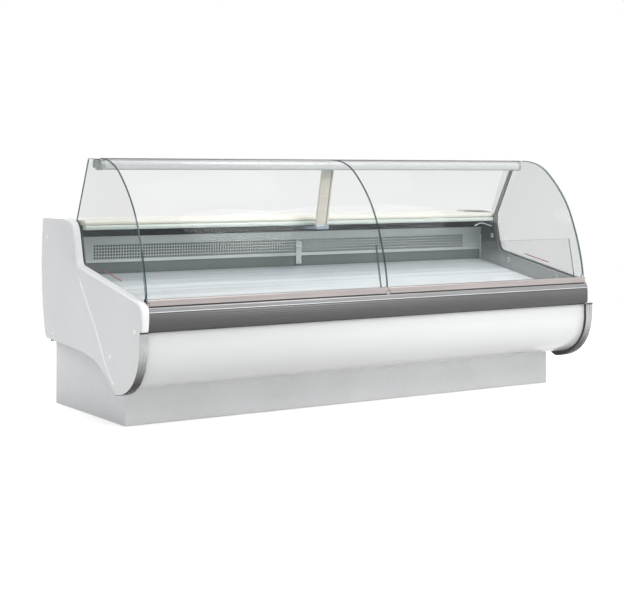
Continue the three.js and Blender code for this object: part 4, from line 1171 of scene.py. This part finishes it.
# ------------------------------------------------------------------ plinth
PLINTH_TOP = reach("plinth_front")[1].z
bm = bmesh.new()
front_fold = trace((22, 2.5), [(4, 2.5)], [(2, 2.5), (2, 4.5)], [(2, PLINTH_TOP - 4)],
                   [(2, PLINTH_TOP - 2), (4, PLINTH_TOP - 2)], [(22, PLINTH_TOP - 2)], steps=5)
add_sweep(bm, strip(front_fold, 0, -2.0), -(PLINTH_HALF - 2.3), PLINTH_HALF - 2.3, 0.3)
piece("plinth_front_sheet", bm, PLINTH, stands_for="plinth_front")
for name, side in SIDES:
    low, high = reach(f"plinth_{name}")
    bm = bmesh.new()
    side_sheet = [(low.y, low.z), (high.y, low.z), (high.y, high.z), (250, high.z), (62, 214),
                  (low.y, PLINTH_TOP)]
    add_sweep(bm, side_sheet, low.x, high.x, 0.5)
    piece(f"plinth_side_sheet_{name}", bm, PLINTH, stands_for=f"plinth_{name}")
dress(PLINTH, "plinth_rear_grille")

# ------------------------------------------------------------------ server's side
dress(REAR_STEEL, "rear_panel")
REAR_LOW, REAR_HIGH = reach("rear_panel")
rear_screws = [(x, REAR_Y, z) for x in (-1225, -640, 0, 640, 1225)
               for z in (REAR_LOW.z + 22, REAR_HIGH.z - 22)]
fasten("rear_panel_screws", SCREW_TREE, rear_screws, 6, 3, "rear")
bm = bmesh.new()
for x in (-420, 420):
    add_block(bm, x - 16, x + 16, REAR_Y, REAR_Y + 2, REAR_LOW.z + 4, REAR_HIGH.z - 4, 0.8)
add_block(bm, -BODY_HALF + 2, BODY_HALF - 2, REAR_Y, REAR_Y + 3, REAR_LOW.z, REAR_LOW.z + 14, 1.0)
piece("rear_cover_strips", bm, REAR_STEEL)

dress(CONTROL, "control_housing", "supply_gland")
dress(KEY_WHITE, "light_switch")
BOX_LOW, BOX_HIGH = reach("control_housing")
BEZEL = 7                                  # width of the bezel round the control box
bm = bmesh.new()
for x0, x1, z0, z1 in (
        (BOX_LOW.x - BEZEL, BOX_HIGH.x + BEZEL, BOX_HIGH.z, BOX_HIGH.z + BEZEL),
        (BOX_LOW.x - BEZEL, BOX_HIGH.x + BEZEL, BOX_LOW.z - BEZEL, BOX_LOW.z),
        (BOX_LOW.x - BEZEL, BOX_LOW.x, BOX_LOW.z, BOX_HIGH.z),
        (BOX_HIGH.x, BOX_HIGH.x + BEZEL, BOX_LOW.z, BOX_HIGH.z)):
    add_block(bm, x0, x1, REAR_Y, BOX_HIGH.y + 1, z0, z1, 0.8)
piece("control_bezel", bm, CONTROL)
bm = bmesh.new()
add_block(bm, BOX_LOW.x + 28, BOX_LOW.x + 118, BOX_HIGH.y, BOX_HIGH.y + 1.6,
          BOX_LOW.z + 44, BOX_HIGH.z - 12, 0.7)
piece("display_window", bm, DISPLAY)
for i in range(1, 4):
    low, high = reach(f"control_button_{i}")
    bm = bmesh.new()
    add_block(bm, low.x, high.x, low.y, high.y, low.z, high.z, 1.2)
    piece(f"control_key_{i}", bm, KEY_WHITE, f"button_{i}", f"control_button_{i}")

# ------------------------------------------------------------------ cooling and frame pieces inside
dress(FOAM, "insulated_tub")
dress(FRAME_PAINT, "base_frame")
dress(RUBBER, *[f"levelling_foot_{i}" for i in range(1, 5)])
dress(ZINC, "evaporator_fan_plate", "unit_tray")
dress(FAN_BLACK, "evaporator_fan_1", "evaporator_fan_2", "condenser_fan_shroud")
dress(FAN_METAL, "condenser_fan")
dress(COMPRESSOR, "compressor")
FIN_TREE = bar_tree("coil_fins", FINS)
for coil, axis, count in (("evaporator_coil", "x", 210), ("condenser_coil", "y", 78)):
    low, high = reach(coil)
    size = high - low
    along = size.x if axis == "x" else size.y
    pitch = along / count
    step = Vector((pitch, 0, 0)) if axis == "x" else Vector((0, pitch, 0))
    fin = Vector((0.6, size.y, size.z)) if axis == "x" else Vector((size.x, 0.6, size.z))
    start = spot(*((low + high) / 2 - (step * (count - 1)) / 2))
    grow(f"{coil}_fins", [start], FIN_TREE,
         {"Count": count, "Step": tuple(step * MM), "Bar Size": tuple(fin * MM)},
         stands_for=(coil,))
    bm = bmesh.new()
    runs = 4
    for r in range(runs):
        for level in range(3):
            z = low.z + size.z * (level + 0.5) / 3
            if axis == "x":
                y = low.y + size.y * (r + 0.5) / runs
                add_tube(bm, [(low.x + 1, y, z), (0, y, z), (high.x - 1, y, z)], 5)
            else:
                x = low.x + size.x * (r + 0.5) / runs
                add_tube(bm, [(x, low.y + 1, z), (x, (low.y + high.y) / 2, z), (x, high.y - 1, z)], 4)
    piece(f"{coil}_tubes", bm, dull(f"{coil}_copper", (0.42, 0.2, 0.12), (0.52, 0.26, 0.16), 0.3, 0.45, 0.9))

# ------------------------------------------------------------------ floor
floor_mesh = bpy.data.meshes.new("studio_floor")
floor_corners = [(x * FLOOR_HALF, y * FLOOR_HALF, 0) for x, y in ((-1, -1), (1, -1), (1, 1), (-1, 1))]
floor_mesh.from_pydata(floor_corners, [], [(0, 1, 2, 3)])
floor_mesh.materials.append(FLOOR)
floor = bpy.data.objects.new("studio_floor", floor_mesh)
bpy.context.scene.collection.objects.link(floor)
